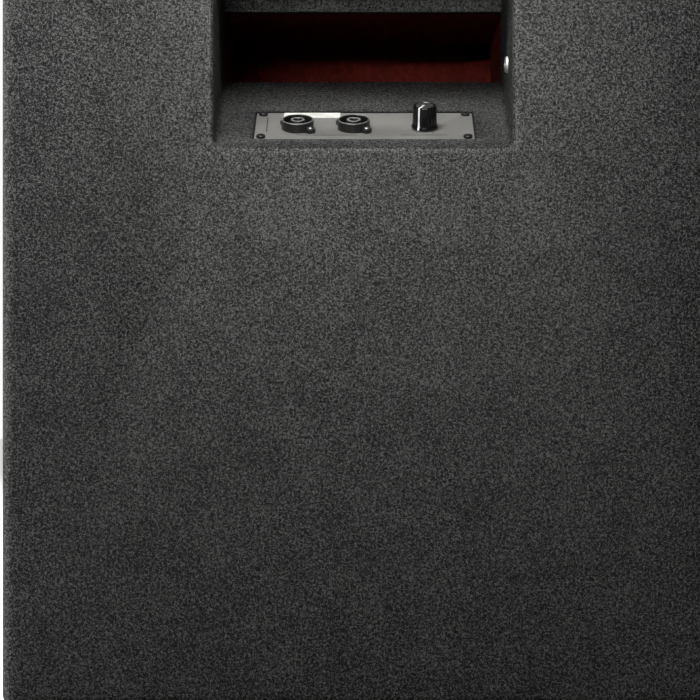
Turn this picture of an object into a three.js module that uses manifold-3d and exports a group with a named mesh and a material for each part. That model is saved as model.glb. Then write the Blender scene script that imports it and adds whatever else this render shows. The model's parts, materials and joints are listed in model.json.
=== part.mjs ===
// A large subwoofer: a plywood cabinet under a sprayed textured coating, with a deep
// recess in its rear face. The recess has a sloping shelf that carries the connection
// plate, and a wide reflex port opens behind the shelf. The driver is at the front.
// Millimetres. +Z is up, the rear face with the recess looks along +Y, and the origin
// is on the floor, in the middle of the cabinet's footprint.
import * as THREE from "three";
import { RoundedBoxGeometry } from "three/addons/geometries/RoundedBoxGeometry.js";
import { mergeVertices } from "three/addons/utils/BufferGeometryUtils.js";
import Module from "manifold-3d";

const wasm = await Module();
wasm.setup();

// ---- driving dimensions -------------------------------------------------------------
const GAP = 0.3; // clearance between pieces that touch
const WIDTH = 586;
const DEPTH = 600;
const HEIGHT = 680; // without the feet
const FOOT_HEIGHT = 12;
const EDGE_RADIUS = 10; // outer edges of the cabinet
const COAT = 1.5; // thickness of the sprayed coating
const PLY = 18; // cabinet panels
const THIN_PLY = 15; // recess and port boards

const FRONT_RECESS = 48; // baffle behind the front edges

const RECESS_WIDTH = 243; // clear width between the coated side walls
const RECESS_DEPTH = 160;
const RECESS_LIP = 6.5; // roundover of the recess mouth
const SHELF_FRONT = 453; // shelf's front edge above the cabinet's underside
const SHELF_RISE = 71; // over the depth of the recess
const SLOT_TOP = 586; // underside of the rear board, above the cabinet's underside
const RECESS_TOP = 640; // ceiling of the recess, above the cabinet's underside
const PORT_LENGTH = 220; // bare duct beyond the recess

const PLATE_WIDTH = 181;
const PLATE_DEPTH = 69; // along the slope
const PLATE_X = -1.1; // plate's middle, beside the recess's middle
const PLATE_THICKNESS = 2;
const PLATE_SETBACK = 24.6; // plate's front edge from the rear face, along the slope
const PLATE_SINK = 1; // plate's top face below the coated shelf
const PLATE_MARGIN = 2; // open line round the plate
const PLATE_SCREW_INSET = 5.5;
const SOCKET_X = [54.1, 7.7];
const SOCKET_UP = 29.3; // socket centres from the plate's front edge
const SOCKET_RADIUS = 13.4;
const WELL_RADIUS = 11.5; // inside the shell, around the centre post
const SOCKET_LOW = -24; // the socket's back end, below the plate
const SOCKET_RIM = 8.1; // rim's height above the plate
const KNOB_X = -51.1;
const KNOB_UP = 30;
const KNOB_HEIGHT = 19.2;
const KNOB_RADIUS = 11.1;
const KNOB_POINTER_TURN = 30; // degrees from the shelf's down-slope line to the pointer

const DRIVER_Z = 290; // driver's axis above the cabinet's underside
const FLANGE_RADIUS = 230;
const BAFFLE_HOLE_RADIUS = 212;
const CONE_RADIUS = 184;
const COIL_RADIUS = 50;
const BOLT_CIRCLE = 219;
const ROUND = 36; // sides of the driver's large rings

// ---- derived places -----------------------------------------------------------------
const OUT_X = WIDTH / 2;
const OUT_Y = DEPTH / 2;
const BASE = FOOT_HEIGHT; // underside of the coated cabinet
const TOP = BASE + HEIGHT;
const SKIN = COAT + GAP; // from the coated surface to the wood
const WOOD_X = OUT_X - SKIN;
const WOOD_Y = OUT_Y - SKIN;
const WOOD_LOW = BASE + SKIN;
const WOOD_HIGH = TOP - SKIN;
const BAFFLE_Y = -OUT_Y + FRONT_RECESS; // coated front of the baffle
const RECESS_BACK_Y = OUT_Y - RECESS_DEPTH;
const SHELF_Z = BASE + SHELF_FRONT;
const SLOPE = Math.atan2(SHELF_RISE, RECESS_DEPTH);
const SLOT_LOW_Z = SHELF_Z + SHELF_RISE;
const SLOT_HIGH_Z = BASE + SLOT_TOP;
const CEILING_Z = BASE + RECESS_TOP;
const DRIVER_AXIS_Z = BASE + DRIVER_Z;

// ---- materials ----------------------------------------------------------------------
const paint = (name, colour, roughness, metalness = 0) =>
  new THREE.MeshStandardMaterial({ name, color: colour, roughness, metalness });
const COATING = paint("coating", 0x333331, 0.8);
const PLYWOOD = paint("plywood", 0x6b3d28, 0.75);
const BLACK_METAL = paint("black_metal", 0x1c1c1d, 0.45, 0.6);
const PLATE_GREY = paint("plate_grey", 0x85837e, 0.35, 0.3);
const BLACK_PLASTIC = paint("black_plastic", 0x2b2c28, 0.4);
const GLOSS_BLACK = paint("gloss_black", 0x0b0b0c, 0.12);
const RUBBER = paint("rubber", 0x161616, 0.85);
const FOAM = paint("foam", 0x141414, 0.95);
const PAPER = paint("cone_paper", 0x202020, 0.85);
const FERRITE = paint("ferrite", 0x2e2d2c, 0.8);
const ZINC = paint("zinc_steel", 0xb9bcc0, 0.35, 1);
const COPPER = paint("copper", 0xb4693a, 0.35, 1);
const ALUMINIUM = paint("aluminium", 0xa9abae, 0.4, 1);
const BOARD_GREEN = paint("board_green", 0x1d4a2c, 0.5);
const LABEL_WHITE = paint("label_white", 0xdcdcd6, 0.55);

// ---- making and joining solids --------------------------------------------------------
function solid(geometry) {
  const bare = geometry.clone();
  bare.deleteAttribute("normal");
  bare.deleteAttribute("uv");
  const merged = mergeVertices(bare, 1e-4);
  return new wasm.Manifold(
    new wasm.Mesh({
      numProp: 3,
      vertProperties: Float32Array.from(merged.attributes.position.array),
      triVerts: Uint32Array.from(merged.index.array),
    }),
  );
}

function geometryOf(manifold) {
  const { vertProperties, triVerts } = manifold.getMesh();
  const geometry = new THREE.BufferGeometry();
  geometry.setAttribute("position", new THREE.BufferAttribute(vertProperties, 3));
  geometry.setIndex(new THREE.BufferAttribute(triVerts, 1));
  geometry.computeVertexNormals();
  return geometry;
}

// A box from its lowest corner to its highest corner.
function box(low, high) {
  const size = high.map((v, i) => v - low[i]);
  const middle = high.map((v, i) => (v + low[i]) / 2);
  return new THREE.BoxGeometry(...size).translate(...middle);
}

const boxSolid = (low, high) => solid(box(low, high));

// A disc or rod along Z, standing on the given height.
const rod = (radius, low, high, sides = 24) =>
  new THREE.CylinderGeometry(radius, radius, high - low, sides)
    .rotateX(Math.PI / 2)
    .translate(0, 0, (low + high) / 2);

// A turned body about Z. The outline is a list of [radius, z].
function turned(outline, sides = 24) {
  const points = outline.map(([r, z]) => new THREE.Vector2(r, z));
  return new THREE.LatheGeometry(points, sides).rotateX(Math.PI / 2);
}

// A closed ring about Z: the outline closes on itself.
const turnedRing = (outline, sides = 24) => turned([...outline, outline[0]], sides);

// A bevelled or plain outline in the XY plane, raised along Z.
const raised = (shape, depth) => new THREE.ExtrudeGeometry(shape, { depth, bevelEnabled: false });

function outline(points) {
  return new THREE.Shape(points.map(([a, b]) => new THREE.Vector2(a, b)));
}

// An outline drawn as [y, z] pairs, pushed along X from -half to +half.
function acrossX(points, half) {
  const geometry = raised(outline(points), 2 * half);
  const turn = new THREE.Matrix4().makeBasis(
    new THREE.Vector3(0, 1, 0),
    new THREE.Vector3(0, 0, 1),
    new THREE.Vector3(1, 0, 0),
  );
  return geometry.applyMatrix4(turn).translate(-half, 0, 0);
}

// ---- the group and its frames -----------------------------------------------------------
const cabinet = new THREE.Group();

// The shelf's own frame: X across, -Y up the slope, Z out of the coated shelf.
const shelfFrame = new THREE.Group();
shelfFrame.position.set(0, OUT_Y, SHELF_Z);
shelfFrame.rotation.x = -SLOPE;
cabinet.add(shelfFrame);

// The driver's own frame: Z runs out of the front, from the coated baffle.
const driverFrame = new THREE.Group();
driverFrame.position.set(0, BAFFLE_Y, DRIVER_AXIS_Z);
driverFrame.rotation.x = Math.PI / 2;
cabinet.add(driverFrame);

for (const frame of [cabinet, shelfFrame, driverFrame]) frame.updateMatrix();

function piece(parent, name, material, shape) {
  const geometry = shape.isBufferGeometry ? shape : geometryOf(shape);
  const mesh = new THREE.Mesh(geometry, material);
  mesh.name = name;
  parent.add(mesh);
  return mesh;
}

// A geometry drawn in a frame, moved into the cabinet's own frame.
const fromFrame = (frame, geometry) => solid(geometry.clone().applyMatrix4(frame.matrix));

// ---- the empty spaces that the cabinet is built round --------------------------------------
const roundedBlock = (inset, radius) =>
  new RoundedBoxGeometry(WIDTH - 2 * inset, DEPTH - 2 * inset, HEIGHT - 2 * inset, 2, radius)
    .translate(0, 0, BASE + HEIGHT / 2);

// The front space, ahead of the baffle. It grows by the given offset.
const frontSpace = (grow) => {
  const half = OUT_X - SKIN - PLY - SKIN + grow;
  return boxSolid(
    [-half, -OUT_Y - 10, BASE + 2 * SKIN + PLY - grow],
    [half, BAFFLE_Y + grow, TOP - 2 * SKIN - PLY + grow],
  );
};

// The rear recess: a straight pocket with a sloping floor. It grows by the given offset.
const recessSpace = (grow) => {
  const outside = OUT_Y + 10;
  const floorDrop = grow / Math.cos(SLOPE);
  const floorAt = (y) => SHELF_Z + (OUT_Y - y) * Math.tan(SLOPE) - floorDrop;
  const back = RECESS_BACK_Y - grow;
  return solid(
    acrossX(
      [
        [outside, floorAt(outside)],
        [outside, CEILING_Z + grow],
        [back, CEILING_Z + grow],
        [back, floorAt(back)],
      ],
      RECESS_WIDTH / 2 + grow,
    ),
  );
};

// What a roundover takes off a straight edge, between a face that looks along U and a
// face that looks along V and leans towards U. The edge is the origin, drawn in U and V.
function lipCut(radius, lean, length) {
  const centre = [-radius, (-radius * (1 - Math.sin(lean))) / Math.cos(lean)];
  const tangent = [
    centre[0] + radius * Math.sin(lean),
    centre[1] + radius * Math.cos(lean),
  ];
  const spare = 1 + RECESS_LIP - radius; // reaches the same place from every depth
  const above = [tangent[0] + spare * Math.sin(lean), tangent[1] + spare * Math.cos(lean)];
  const shape = new THREE.Shape();
  shape.moveTo(0, centre[1]);
  shape.absarc(...centre, radius, 0, Math.PI / 2 - lean);
  shape.lineTo(...above);
  shape.lineTo(spare, above[1]);
  shape.lineTo(spare, centre[1]);
  shape.closePath();
  return new THREE.ExtrudeGeometry(shape, { depth: length, bevelEnabled: false, curveSegments: 5 });
}

// The roundover of the four edges of the recess mouth, for a surface that lies the given
// depth inside the coated one.
function mouthCuts(depth) {
  const half = RECESS_WIDTH / 2 + depth;
  const floor = SHELF_Z - depth * Math.tan(Math.PI / 4 - SLOPE / 2);
  const ceiling = CEILING_Z + depth;
  const over = RECESS_LIP;
  const tall = ceiling - floor + 2 * over;
  const wide = 2 * (half + over);
  const edge = (v, w, start, length, lean = 0) => {
    const basis = new THREE.Matrix4().makeBasis(
      new THREE.Vector3(0, 1, 0),
      new THREE.Vector3(...v),
      new THREE.Vector3(...w),
    );
    return solid(
      lipCut(RECESS_LIP - depth, lean, length)
        .applyMatrix4(basis)
        .translate(start[0], OUT_Y - depth, start[1]),
    );
  };
  return [
    edge([-1, 0, 0], [0, 0, 1], [half, floor - over], tall),
    edge([1, 0, 0], [0, 0, -1], [-half, ceiling + over], tall),
    edge([0, 0, 1], [1, 0, 0], [-half - over, floor], wide, SLOPE),
    edge([0, 0, -1], [-1, 0, 0], [half + over, ceiling], wide),
  ];
}

const without = (whole, cuts) => cuts.reduce((left, cut) => left.subtract(cut), whole);

// Everything that passes through the rear recess's lining, and the rebate of the plate.
const plateMiddleY = -(PLATE_SETBACK + PLATE_DEPTH / 2);
const rebate = (low, high) => {
  const halfX = PLATE_WIDTH / 2 + PLATE_MARGIN;
  const halfY = PLATE_DEPTH / 2 + PLATE_MARGIN;
  return fromFrame(
    shelfFrame,
    box([PLATE_X - halfX, plateMiddleY - halfY, low], [PLATE_X + halfX, plateMiddleY + halfY, high]),
  );
};
const slotSpace = (growX) =>
  boxSolid(
    [-RECESS_WIDTH / 2 - growX, RECESS_BACK_Y - PORT_LENGTH - 20, SLOT_LOW_Z],
    [RECESS_WIDTH / 2 + growX, RECESS_BACK_Y + 0.5, SLOT_HIGH_Z],
  );
const wallBoltAt = [-RECESS_WIDTH / 2, OUT_Y - 70, BASE + 529];
const wallBoltHole = () =>
  solid(
    rod(3.3, -30, 1, 16)
      .rotateY(Math.PI / 2)
      .translate(...wallBoltAt),
  );
const footPlaces = [1, -1].flatMap((sx) => [1, -1].map((sy) => [sx * 235, sy * 240]));
const footHoles = (radius) =>
  footPlaces.map(([x, y]) => solid(rod(radius, BASE - 1, BASE + 40, 12).translate(x, y, 0)));

// ---- the coating: one continuous skin, inside the recess and the front space too -----------
// The cabinet's solid outline, the given depth inside the coated surface.
const envelope = (depth) =>
  without(solid(roundedBlock(depth, EDGE_RADIUS - depth)), [
    frontSpace(depth),
    recessSpace(depth),
    ...mouthCuts(depth),
  ]);
const woodEnvelope = envelope(SKIN);

function coating() {
  const driverHole = fromFrame(driverFrame, rod(BAFFLE_HOLE_RADIUS, -30, 30, ROUND));
  return without(envelope(0), [
    envelope(COAT),
    driverHole,
    rebate(-6, 2),
    slotSpace(0),
    wallBoltHole(),
    ...footHoles(3.2),
    ...driverBoltHoles(),
  ]);
}

// ---- plywood panels ---------------------------------------------------------------------------
const SIDE_IN = WOOD_X - PLY; // inner face of a side panel
const FLOOR_IN = WOOD_LOW + PLY;
const CEIL_IN = WOOD_HIGH - PLY;
const REAR_IN = WOOD_Y - PLY;

// A board cut to the wood envelope, so it follows the rounded edges and both recesses.
const board = (low, high, cuts = []) =>
  without(boxSolid(low, high).intersect(woodEnvelope), cuts);

function panels() {
  const tall = [WOOD_LOW, WOOD_HIGH];
  piece(cabinet, "left_panel", PLYWOOD,
    board([SIDE_IN, -WOOD_Y, tall[0]], [WOOD_X, WOOD_Y, tall[1]]));
  piece(cabinet, "right_panel", PLYWOOD,
    board([-WOOD_X, -WOOD_Y, tall[0]], [-SIDE_IN, WOOD_Y, tall[1]]));
  piece(cabinet, "top_panel", PLYWOOD,
    board([-SIDE_IN + GAP, -WOOD_Y, CEIL_IN], [SIDE_IN - GAP, WOOD_Y, WOOD_HIGH]));
  piece(cabinet, "bottom_panel", PLYWOOD,
    board([-SIDE_IN + GAP, -WOOD_Y, WOOD_LOW], [SIDE_IN - GAP, WOOD_Y, FLOOR_IN], footHoles(3.2)));
  piece(cabinet, "rear_panel", PLYWOOD,
    board([-SIDE_IN + GAP, REAR_IN, FLOOR_IN + GAP], [SIDE_IN - GAP, WOOD_Y, CEIL_IN - GAP]));
  const baffleHole = fromFrame(driverFrame, rod(BAFFLE_HOLE_RADIUS, -40, 5, ROUND));
  piece(cabinet, "front_baffle", PLYWOOD,
    board(
      [-SIDE_IN + GAP, BAFFLE_Y + SKIN, FLOOR_IN + GAP],
      [SIDE_IN - GAP, BAFFLE_Y + SKIN + PLY, CEIL_IN - GAP],
      [baffleHole, ...driverBoltHoles()],
    ));
}

// ---- recess and port boards -----------------------------------------------------------------------
const WALL_IN = RECESS_WIDTH / 2 + SKIN;
const WALL_OUT = WALL_IN + THIN_PLY;
const RECESS_FRONT_Y = REAR_IN - GAP; // where the recess boards meet the rear panel
const DUCT_END_Y = RECESS_BACK_Y - PORT_LENGTH;
const WALL_LOW = SHELF_Z - 30; // lower edge of the recess side walls

function recessBoards() {
  const highEnd = CEILING_Z + SKIN + THIN_PLY;
  for (const [name, side] of [["recess_left_wall", 1], ["recess_right_wall", -1]]) {
    const [a, b] = [side * WALL_IN, side * WALL_OUT].sort((p, q) => p - q);
    const wall = boxSolid([a, DUCT_END_Y, WALL_LOW], [b, RECESS_FRONT_Y, highEnd]);
    piece(cabinet, name, PLYWOOD, side < 0 ? wall.subtract(wallBoltHole()) : wall);
  }
  const across = WALL_IN - GAP;
  const shelf = fromFrame(
    shelfFrame,
    box([-across, -RECESS_DEPTH / Math.cos(SLOPE), -SKIN - PLY], [across, 10, -SKIN]),
  );
  const trim = boxSolid(
    [-across, RECESS_BACK_Y - SKIN + GAP, 0],
    [across, RECESS_FRONT_Y, 2 * TOP],
  );
  const window = fromFrame(shelfFrame, plateWindow());
  piece(cabinet, "recess_shelf", PLYWOOD,
    without(shelf.intersect(trim), [rebate(-REBATE_FLOOR, 2), window, ...plateScrewHoles()]));
  const portFloorTop = SLOT_LOW_Z;
  const portRoof = SLOT_HIGH_Z;
  piece(cabinet, "port_floor", PLYWOOD,
    boxSolid(
      [-across, DUCT_END_Y, portFloorTop - THIN_PLY],
      [across, RECESS_BACK_Y - SKIN, portFloorTop],
    ));
  piece(cabinet, "port_roof", PLYWOOD,
    boxSolid(
      [-across, DUCT_END_Y, portRoof],
      [across, RECESS_BACK_Y - SKIN - THIN_PLY - GAP, portRoof + THIN_PLY],
    ));
  piece(cabinet, "recess_rear_board", PLYWOOD,
    boxSolid(
      [-across, RECESS_BACK_Y - SKIN - THIN_PLY, portRoof],
      [across, RECESS_BACK_Y - SKIN, CEILING_Z + SKIN - GAP],
    ));
  piece(cabinet, "recess_ceiling", PLYWOOD,
    boxSolid(
      [-across, RECESS_BACK_Y - SKIN - THIN_PLY, CEILING_Z + SKIN],
      [across, RECESS_FRONT_Y, highEnd],
    ));
}

// ---- brace: a frame across the cabinet, behind the driver --------------------------------------------
function brace() {
  const [low, high] = [FLOOR_IN + GAP, WALL_LOW - GAP];
  const shape = outline([
    [-SIDE_IN + GAP, low], [SIDE_IN - GAP, low], [SIDE_IN - GAP, high], [-SIDE_IN + GAP, high],
  ]);
  const rail = 70;
  const hole = new THREE.Path([
    [-SIDE_IN + rail, low + rail], [-SIDE_IN + rail, high - rail],
    [SIDE_IN - rail, high - rail], [SIDE_IN - rail, low + rail],
  ].map(([x, z]) => new THREE.Vector2(x, z)));
  shape.holes.push(hole);
  const mesh = piece(cabinet, "cabinet_brace", PLYWOOD, raised(shape, PLY));
  mesh.rotation.x = Math.PI / 2;
  mesh.position.y = 60;
}

// ---- feet ------------------------------------------------------------------------------------------
function feet() {
  const profile = [[0, 0], [16, 0], [18.5, 2.5], [19, 11.7], [0, 11.7]];
  const screwSpace = solid(turned([[0, -1], [6.2, -1], [6.2, 5.5], [2.5, 5.5], [2.5, 13], [0, 13]], 12));
  const foot = geometryOf(solid(turned(profile, 18)).subtract(screwSpace));
  footPlaces.forEach(([x, y], i) => {
    piece(cabinet, `foot_${i + 1}`, RUBBER, foot).position.set(x, y, 0);
  });
}

// ---- recess wall bolt --------------------------------------------------------------------------------
function wallBolt() {
  const shape = turned(
    [[0, -22], [2.9, -22], [2.9, 0.3], [7, 0.3], [6.4, 2], [4.2, 3.3], [0, 3.6]], 16);
  const mesh = piece(cabinet, "recess_wall_bolt", ZINC, shape);
  mesh.position.set(...wallBoltAt);
  mesh.rotation.y = Math.PI / 2;
}

// ---- grille --------------------------------------------------------------------------------------------
const GRILLE_X = OUT_X - SKIN - PLY - SKIN - 1;
const GRILLE_LOW = BASE + 2 * SKIN + PLY + 1;
const GRILLE_HIGH = TOP - 2 * SKIN - PLY - 1;
const GRILLE_Y = -OUT_Y + 3; // front face of the grille
const SHEET = 1.5;
const GRILLE_FLANGE = 9;
const BATTEN = 16;
const grilleScrewPlaces = [1, -1].flatMap((sx) =>
  [GRILLE_LOW + 60, GRILLE_HIGH - 60].map((z) => [sx * (GRILLE_X - BATTEN / 2 - 3), z]),
);
const alongY = (radius, low, high, x, z, sides = 16) =>
  solid(rod(radius, low, high, sides).rotateX(-Math.PI / 2).translate(x, 0, z));

function grille() {
  const front = GRILLE_Y;
  const outer = boxSolid([-GRILLE_X, front, GRILLE_LOW], [GRILLE_X, front + GRILLE_FLANGE, GRILLE_HIGH]);
  const inner = boxSolid(
    [-GRILLE_X + SHEET, front + SHEET, GRILLE_LOW + SHEET],
    [GRILLE_X - SHEET, front + GRILLE_FLANGE + 1, GRILLE_HIGH - SHEET],
  );
  const screwHoles = grilleScrewPlaces.map(([x, z]) => alongY(2.5, front - 1, front + 4, x, z));
  piece(cabinet, "front_grille", BLACK_METAL, without(outer, [inner, ...screwHoles]));
  const foamInset = BATTEN + 7;
  piece(cabinet, "grille_foam", FOAM,
    box(
      [-GRILLE_X + foamInset, front + SHEET + GAP, GRILLE_LOW + SHEET + 1],
      [GRILLE_X - foamInset, front + SHEET + GAP + 8, GRILLE_HIGH - SHEET - 1],
    ));
  const battenFront = front + SHEET + GAP;
  for (const [name, side] of [["grille_batten_left", 1], ["grille_batten_right", -1]]) {
    const [a, b] = [side * (GRILLE_X - 3), side * (GRILLE_X - 3 - BATTEN)].sort((p, q) => p - q);
    const strip = boxSolid([a, battenFront, GRILLE_LOW + 8], [b, BAFFLE_Y - GAP, GRILLE_HIGH - 8]);
    const holes = grilleScrewPlaces.map(([x, z]) => alongY(2.2, front - 1, front + 27, x, z));
    piece(cabinet, name, PLYWOOD, without(strip, holes));
  }
  const screw = turned([[0, -24], [1.9, -24], [1.9, 0.3], [5, 0.3], [4.2, 1.8], [0, 2.4]], 12);
  grilleScrewPlaces.forEach(([x, z], i) => {
    const mesh = piece(cabinet, `grille_screw_${i + 1}`, BLACK_METAL, screw);
    mesh.position.set(x, front, z);
    mesh.rotation.x = Math.PI / 2;
  });
}

// ---- driver. Its frame's Z is forward, with 0 on the coated baffle ---------------------------------------
const FLANGE_TOP = GAP + 5;
const SURROUND_FOOT = FLANGE_TOP + GAP;
const CONE_EDGE = -9; // cone's outer edge, behind the flange's face
const CONE_NECK = -84;
const NECK_RADIUS = COIL_RADIUS + 3;
const TOP_PLATE = -112; // front face of the magnet's top plate
const CLAMP_Z = -84; // basket's ledge that holds the spider
const boltAngles = [0, 1, 2, 3].map((i) => Math.PI / 4 + (i * Math.PI) / 2);
const boltPlace = (angle) => [BOLT_CIRCLE * Math.cos(angle), BOLT_CIRCLE * Math.sin(angle)];

const boltHoleShapes = () =>
  boltAngles.map((angle) => rod(3.3, -40, 10, 12).translate(...boltPlace(angle), 0));
const boltHoles = () => boltHoleShapes().map(solid);
const driverBoltHoles = () => boltHoleShapes().map((shape) => fromFrame(driverFrame, shape));

function basket() {
  const wall = turnedRing([
    [FLANGE_RADIUS, GAP], [FLANGE_RADIUS, FLANGE_TOP], [206, FLANGE_TOP], [198, -14],
    [129, CLAMP_Z], [116, CLAMP_Z], [104, TOP_PLATE + GAP + 4], [56, TOP_PLATE + GAP + 4],
    [56, TOP_PLATE + GAP], [108, TOP_PLATE + GAP], [134, CLAMP_Z - 8], [134, CLAMP_Z + 2],
    [204, -14], [206, GAP],
  ], ROUND);
  let frame = solid(wall);
  const windows = 6;
  for (let i = 0; i < windows; i++) {
    const window = box([136, -34, -76], [215, 34, -18]);
    window.rotateZ((2 * Math.PI * (i + 0.5)) / windows);
    frame = frame.subtract(solid(window));
  }
  return without(frame, boltHoles());
}

// The half-roll between the flange and the cone: a band of even thickness along an arc.
function surround() {
  const [rollRadius, middle, thickness] = [9.5, 195.5, 1.2];
  const arc = (radius) =>
    Array.from({ length: 5 }, (_, i) => {
      const a = (Math.PI * i) / 4;
      return [middle + radius * Math.cos(a), SURROUND_FOOT + 1.2 + radius * Math.sin(a)];
    });
  const top = SURROUND_FOOT + 1.2;
  const insideLeg = middle - rollRadius;
  return turnedRing([
    [213, SURROUND_FOOT], [213, top],
    ...arc(rollRadius + thickness / 2),
    [insideLeg - thickness / 2, CONE_EDGE + 1.7], [insideLeg - 9, CONE_EDGE + 1.7],
    [insideLeg - 9, CONE_EDGE + 0.5], [insideLeg + thickness / 2, CONE_EDGE + 0.5],
    ...arc(rollRadius - thickness / 2).reverse(),
    [middle + rollRadius - thickness / 2, SURROUND_FOOT],
  ], ROUND);
}

function spider() {
  const turns = 4;
  const [inner, outer, thickness] = [COIL_RADIUS + 2.4, 114, 0.8];
  const steps = turns * 2;
  const line = Array.from({ length: steps + 1 }, (_, i) => {
    const t = i / steps;
    const wave = i % 2 === 0 ? -1.6 : 1.6;
    return [inner + (outer - inner) * t, CLAMP_Z - 13 * (1 - t) + wave * Math.sin(Math.PI * t) + 1];
  });
  const under = line.map(([r, z]) => [r, z - thickness]);
  const rim = CLAMP_Z + GAP;
  return turnedRing([...under, [126, rim], [126, rim + thickness], ...line.reverse()]);
}

function driver() {
  piece(driverFrame, "driver_basket", BLACK_METAL, basket());
  piece(driverFrame, "cone_surround", RUBBER, surround());
  const trim = turnedRing([
    [213 + GAP, SURROUND_FOOT], [228, SURROUND_FOOT],
    [228, SURROUND_FOOT + 3], [213 + GAP, SURROUND_FOOT + 3],
  ], ROUND);
  piece(driverFrame, "driver_gasket", RUBBER, without(solid(trim), boltHoles()));
  piece(driverFrame, "speaker_cone", PAPER,
    turnedRing([
      [CONE_RADIUS, CONE_EDGE - 1.4], [CONE_RADIUS, CONE_EDGE], [CONE_RADIUS - 8, CONE_EDGE],
      [NECK_RADIUS, CONE_NECK], [NECK_RADIUS, CONE_NECK - 2], [NECK_RADIUS + 2, CONE_NECK - 2],
      [CONE_RADIUS - 6, CONE_EDGE - 1.4],
    ], ROUND));
  const domeRim = 68;
  const rimZ = CONE_NECK + ((domeRim - NECK_RADIUS) / (CONE_RADIUS - 8 - NECK_RADIUS)) *
    (CONE_EDGE - CONE_NECK) + 0.5;
  const dome = Array.from({ length: 5 }, (_, i) => {
    const t = i / 4;
    return [domeRim * (1 - t), rimZ + 20 * Math.sin((Math.PI / 2) * t) + 1];
  });
  const under = dome.map(([r, z]) => [r, z - 1]).reverse();
  piece(driverFrame, "dust_cap", PAPER, turned([...under, ...dome]));
  piece(driverFrame, "suspension_spider", FOAM, spider());
  const coilOuter = COIL_RADIUS + 1.6;
  piece(driverFrame, "voice_coil", COPPER,
    turnedRing([[COIL_RADIUS, -128], [coilOuter, -128], [coilOuter, CONE_NECK + 6],
      [COIL_RADIUS, CONE_NECK + 6]]));
  piece(driverFrame, "magnet_top_plate", BLACK_METAL,
    turnedRing([[COIL_RADIUS + 3.2, TOP_PLATE - 10], [104, TOP_PLATE - 10],
      [104, TOP_PLATE], [COIL_RADIUS + 3.2, TOP_PLATE]]));
  const magnetTop = TOP_PLATE - 10 - GAP;
  piece(driverFrame, "magnet_ring", FERRITE,
    turnedRing([[66, magnetTop - 24], [110, magnetTop - 24], [110, magnetTop], [66, magnetTop]]));
  const yokeTop = magnetTop - 24 - GAP;
  piece(driverFrame, "magnet_yoke", BLACK_METAL,
    turnedRing([[16, yokeTop - 12], [104, yokeTop - 12], [104, yokeTop],
      [COIL_RADIUS - 1.5, yokeTop], [COIL_RADIUS - 1.5, TOP_PLATE], [16, TOP_PLATE]]));
  piece(driverFrame, "driver_terminal", BLACK_PLASTIC,
    box([134.8, -14, -94], [148, 14, -84]));
  const bolt = turned([[0, -26], [2.9, -26], [2.9, GAP], [5.6, GAP], [5.6, 4.6], [4.4, 5.3], [0, 5.3]], 12);
  boltAngles.forEach((angle, i) => {
    const [x, y] = boltPlace(angle);
    piece(driverFrame, `driver_bolt_${i + 1}`, ZINC, bolt).position.set(x, y, SURROUND_FOOT + 3);
  });
}

// ---- connection plate. In the shelf's frame, Z is out of the shelf ----------------------------------------
const PLATE_TOP = -PLATE_SINK;
const PLATE_BACK = PLATE_TOP - PLATE_THICKNESS;
const PLATE_FRONT_Y = -PLATE_SETBACK;
const GASKET = 1;
const REBATE_FLOOR = -(PLATE_BACK - GAP - GASKET - GAP);
const plateScrewPlaces = [1, -1].flatMap((sx) => [
  [PLATE_X + sx * (PLATE_WIDTH / 2 - PLATE_SCREW_INSET), PLATE_FRONT_Y - PLATE_SCREW_INSET],
  [PLATE_X + sx * (PLATE_WIDTH / 2 - PLATE_SCREW_INSET), PLATE_FRONT_Y - PLATE_DEPTH + PLATE_SCREW_INSET],
]);
const socketY = PLATE_FRONT_Y - SOCKET_UP;
const knobY = PLATE_FRONT_Y - KNOB_UP;

const plateWindow = () =>
  box([-78, PLATE_FRONT_Y - PLATE_DEPTH + 10, -40], [78, PLATE_FRONT_Y - 10, 0]);
const plateScrewHoles = () =>
  plateScrewPlaces.map(([x, y]) =>
    fromFrame(shelfFrame, rod(2.2, -30, 2, 12).translate(x, y, 0)));

function roundedOutline(halfX, halfY, radius) {
  const shape = new THREE.Shape();
  shape.absarc(halfX - radius, halfY - radius, radius, 0, Math.PI / 2);
  shape.absarc(-halfX + radius, halfY - radius, radius, Math.PI / 2, Math.PI);
  shape.absarc(-halfX + radius, -halfY + radius, radius, Math.PI, 1.5 * Math.PI);
  shape.absarc(halfX - radius, -halfY + radius, radius, 1.5 * Math.PI, 2 * Math.PI);
  shape.closePath();
  return shape;
}

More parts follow.
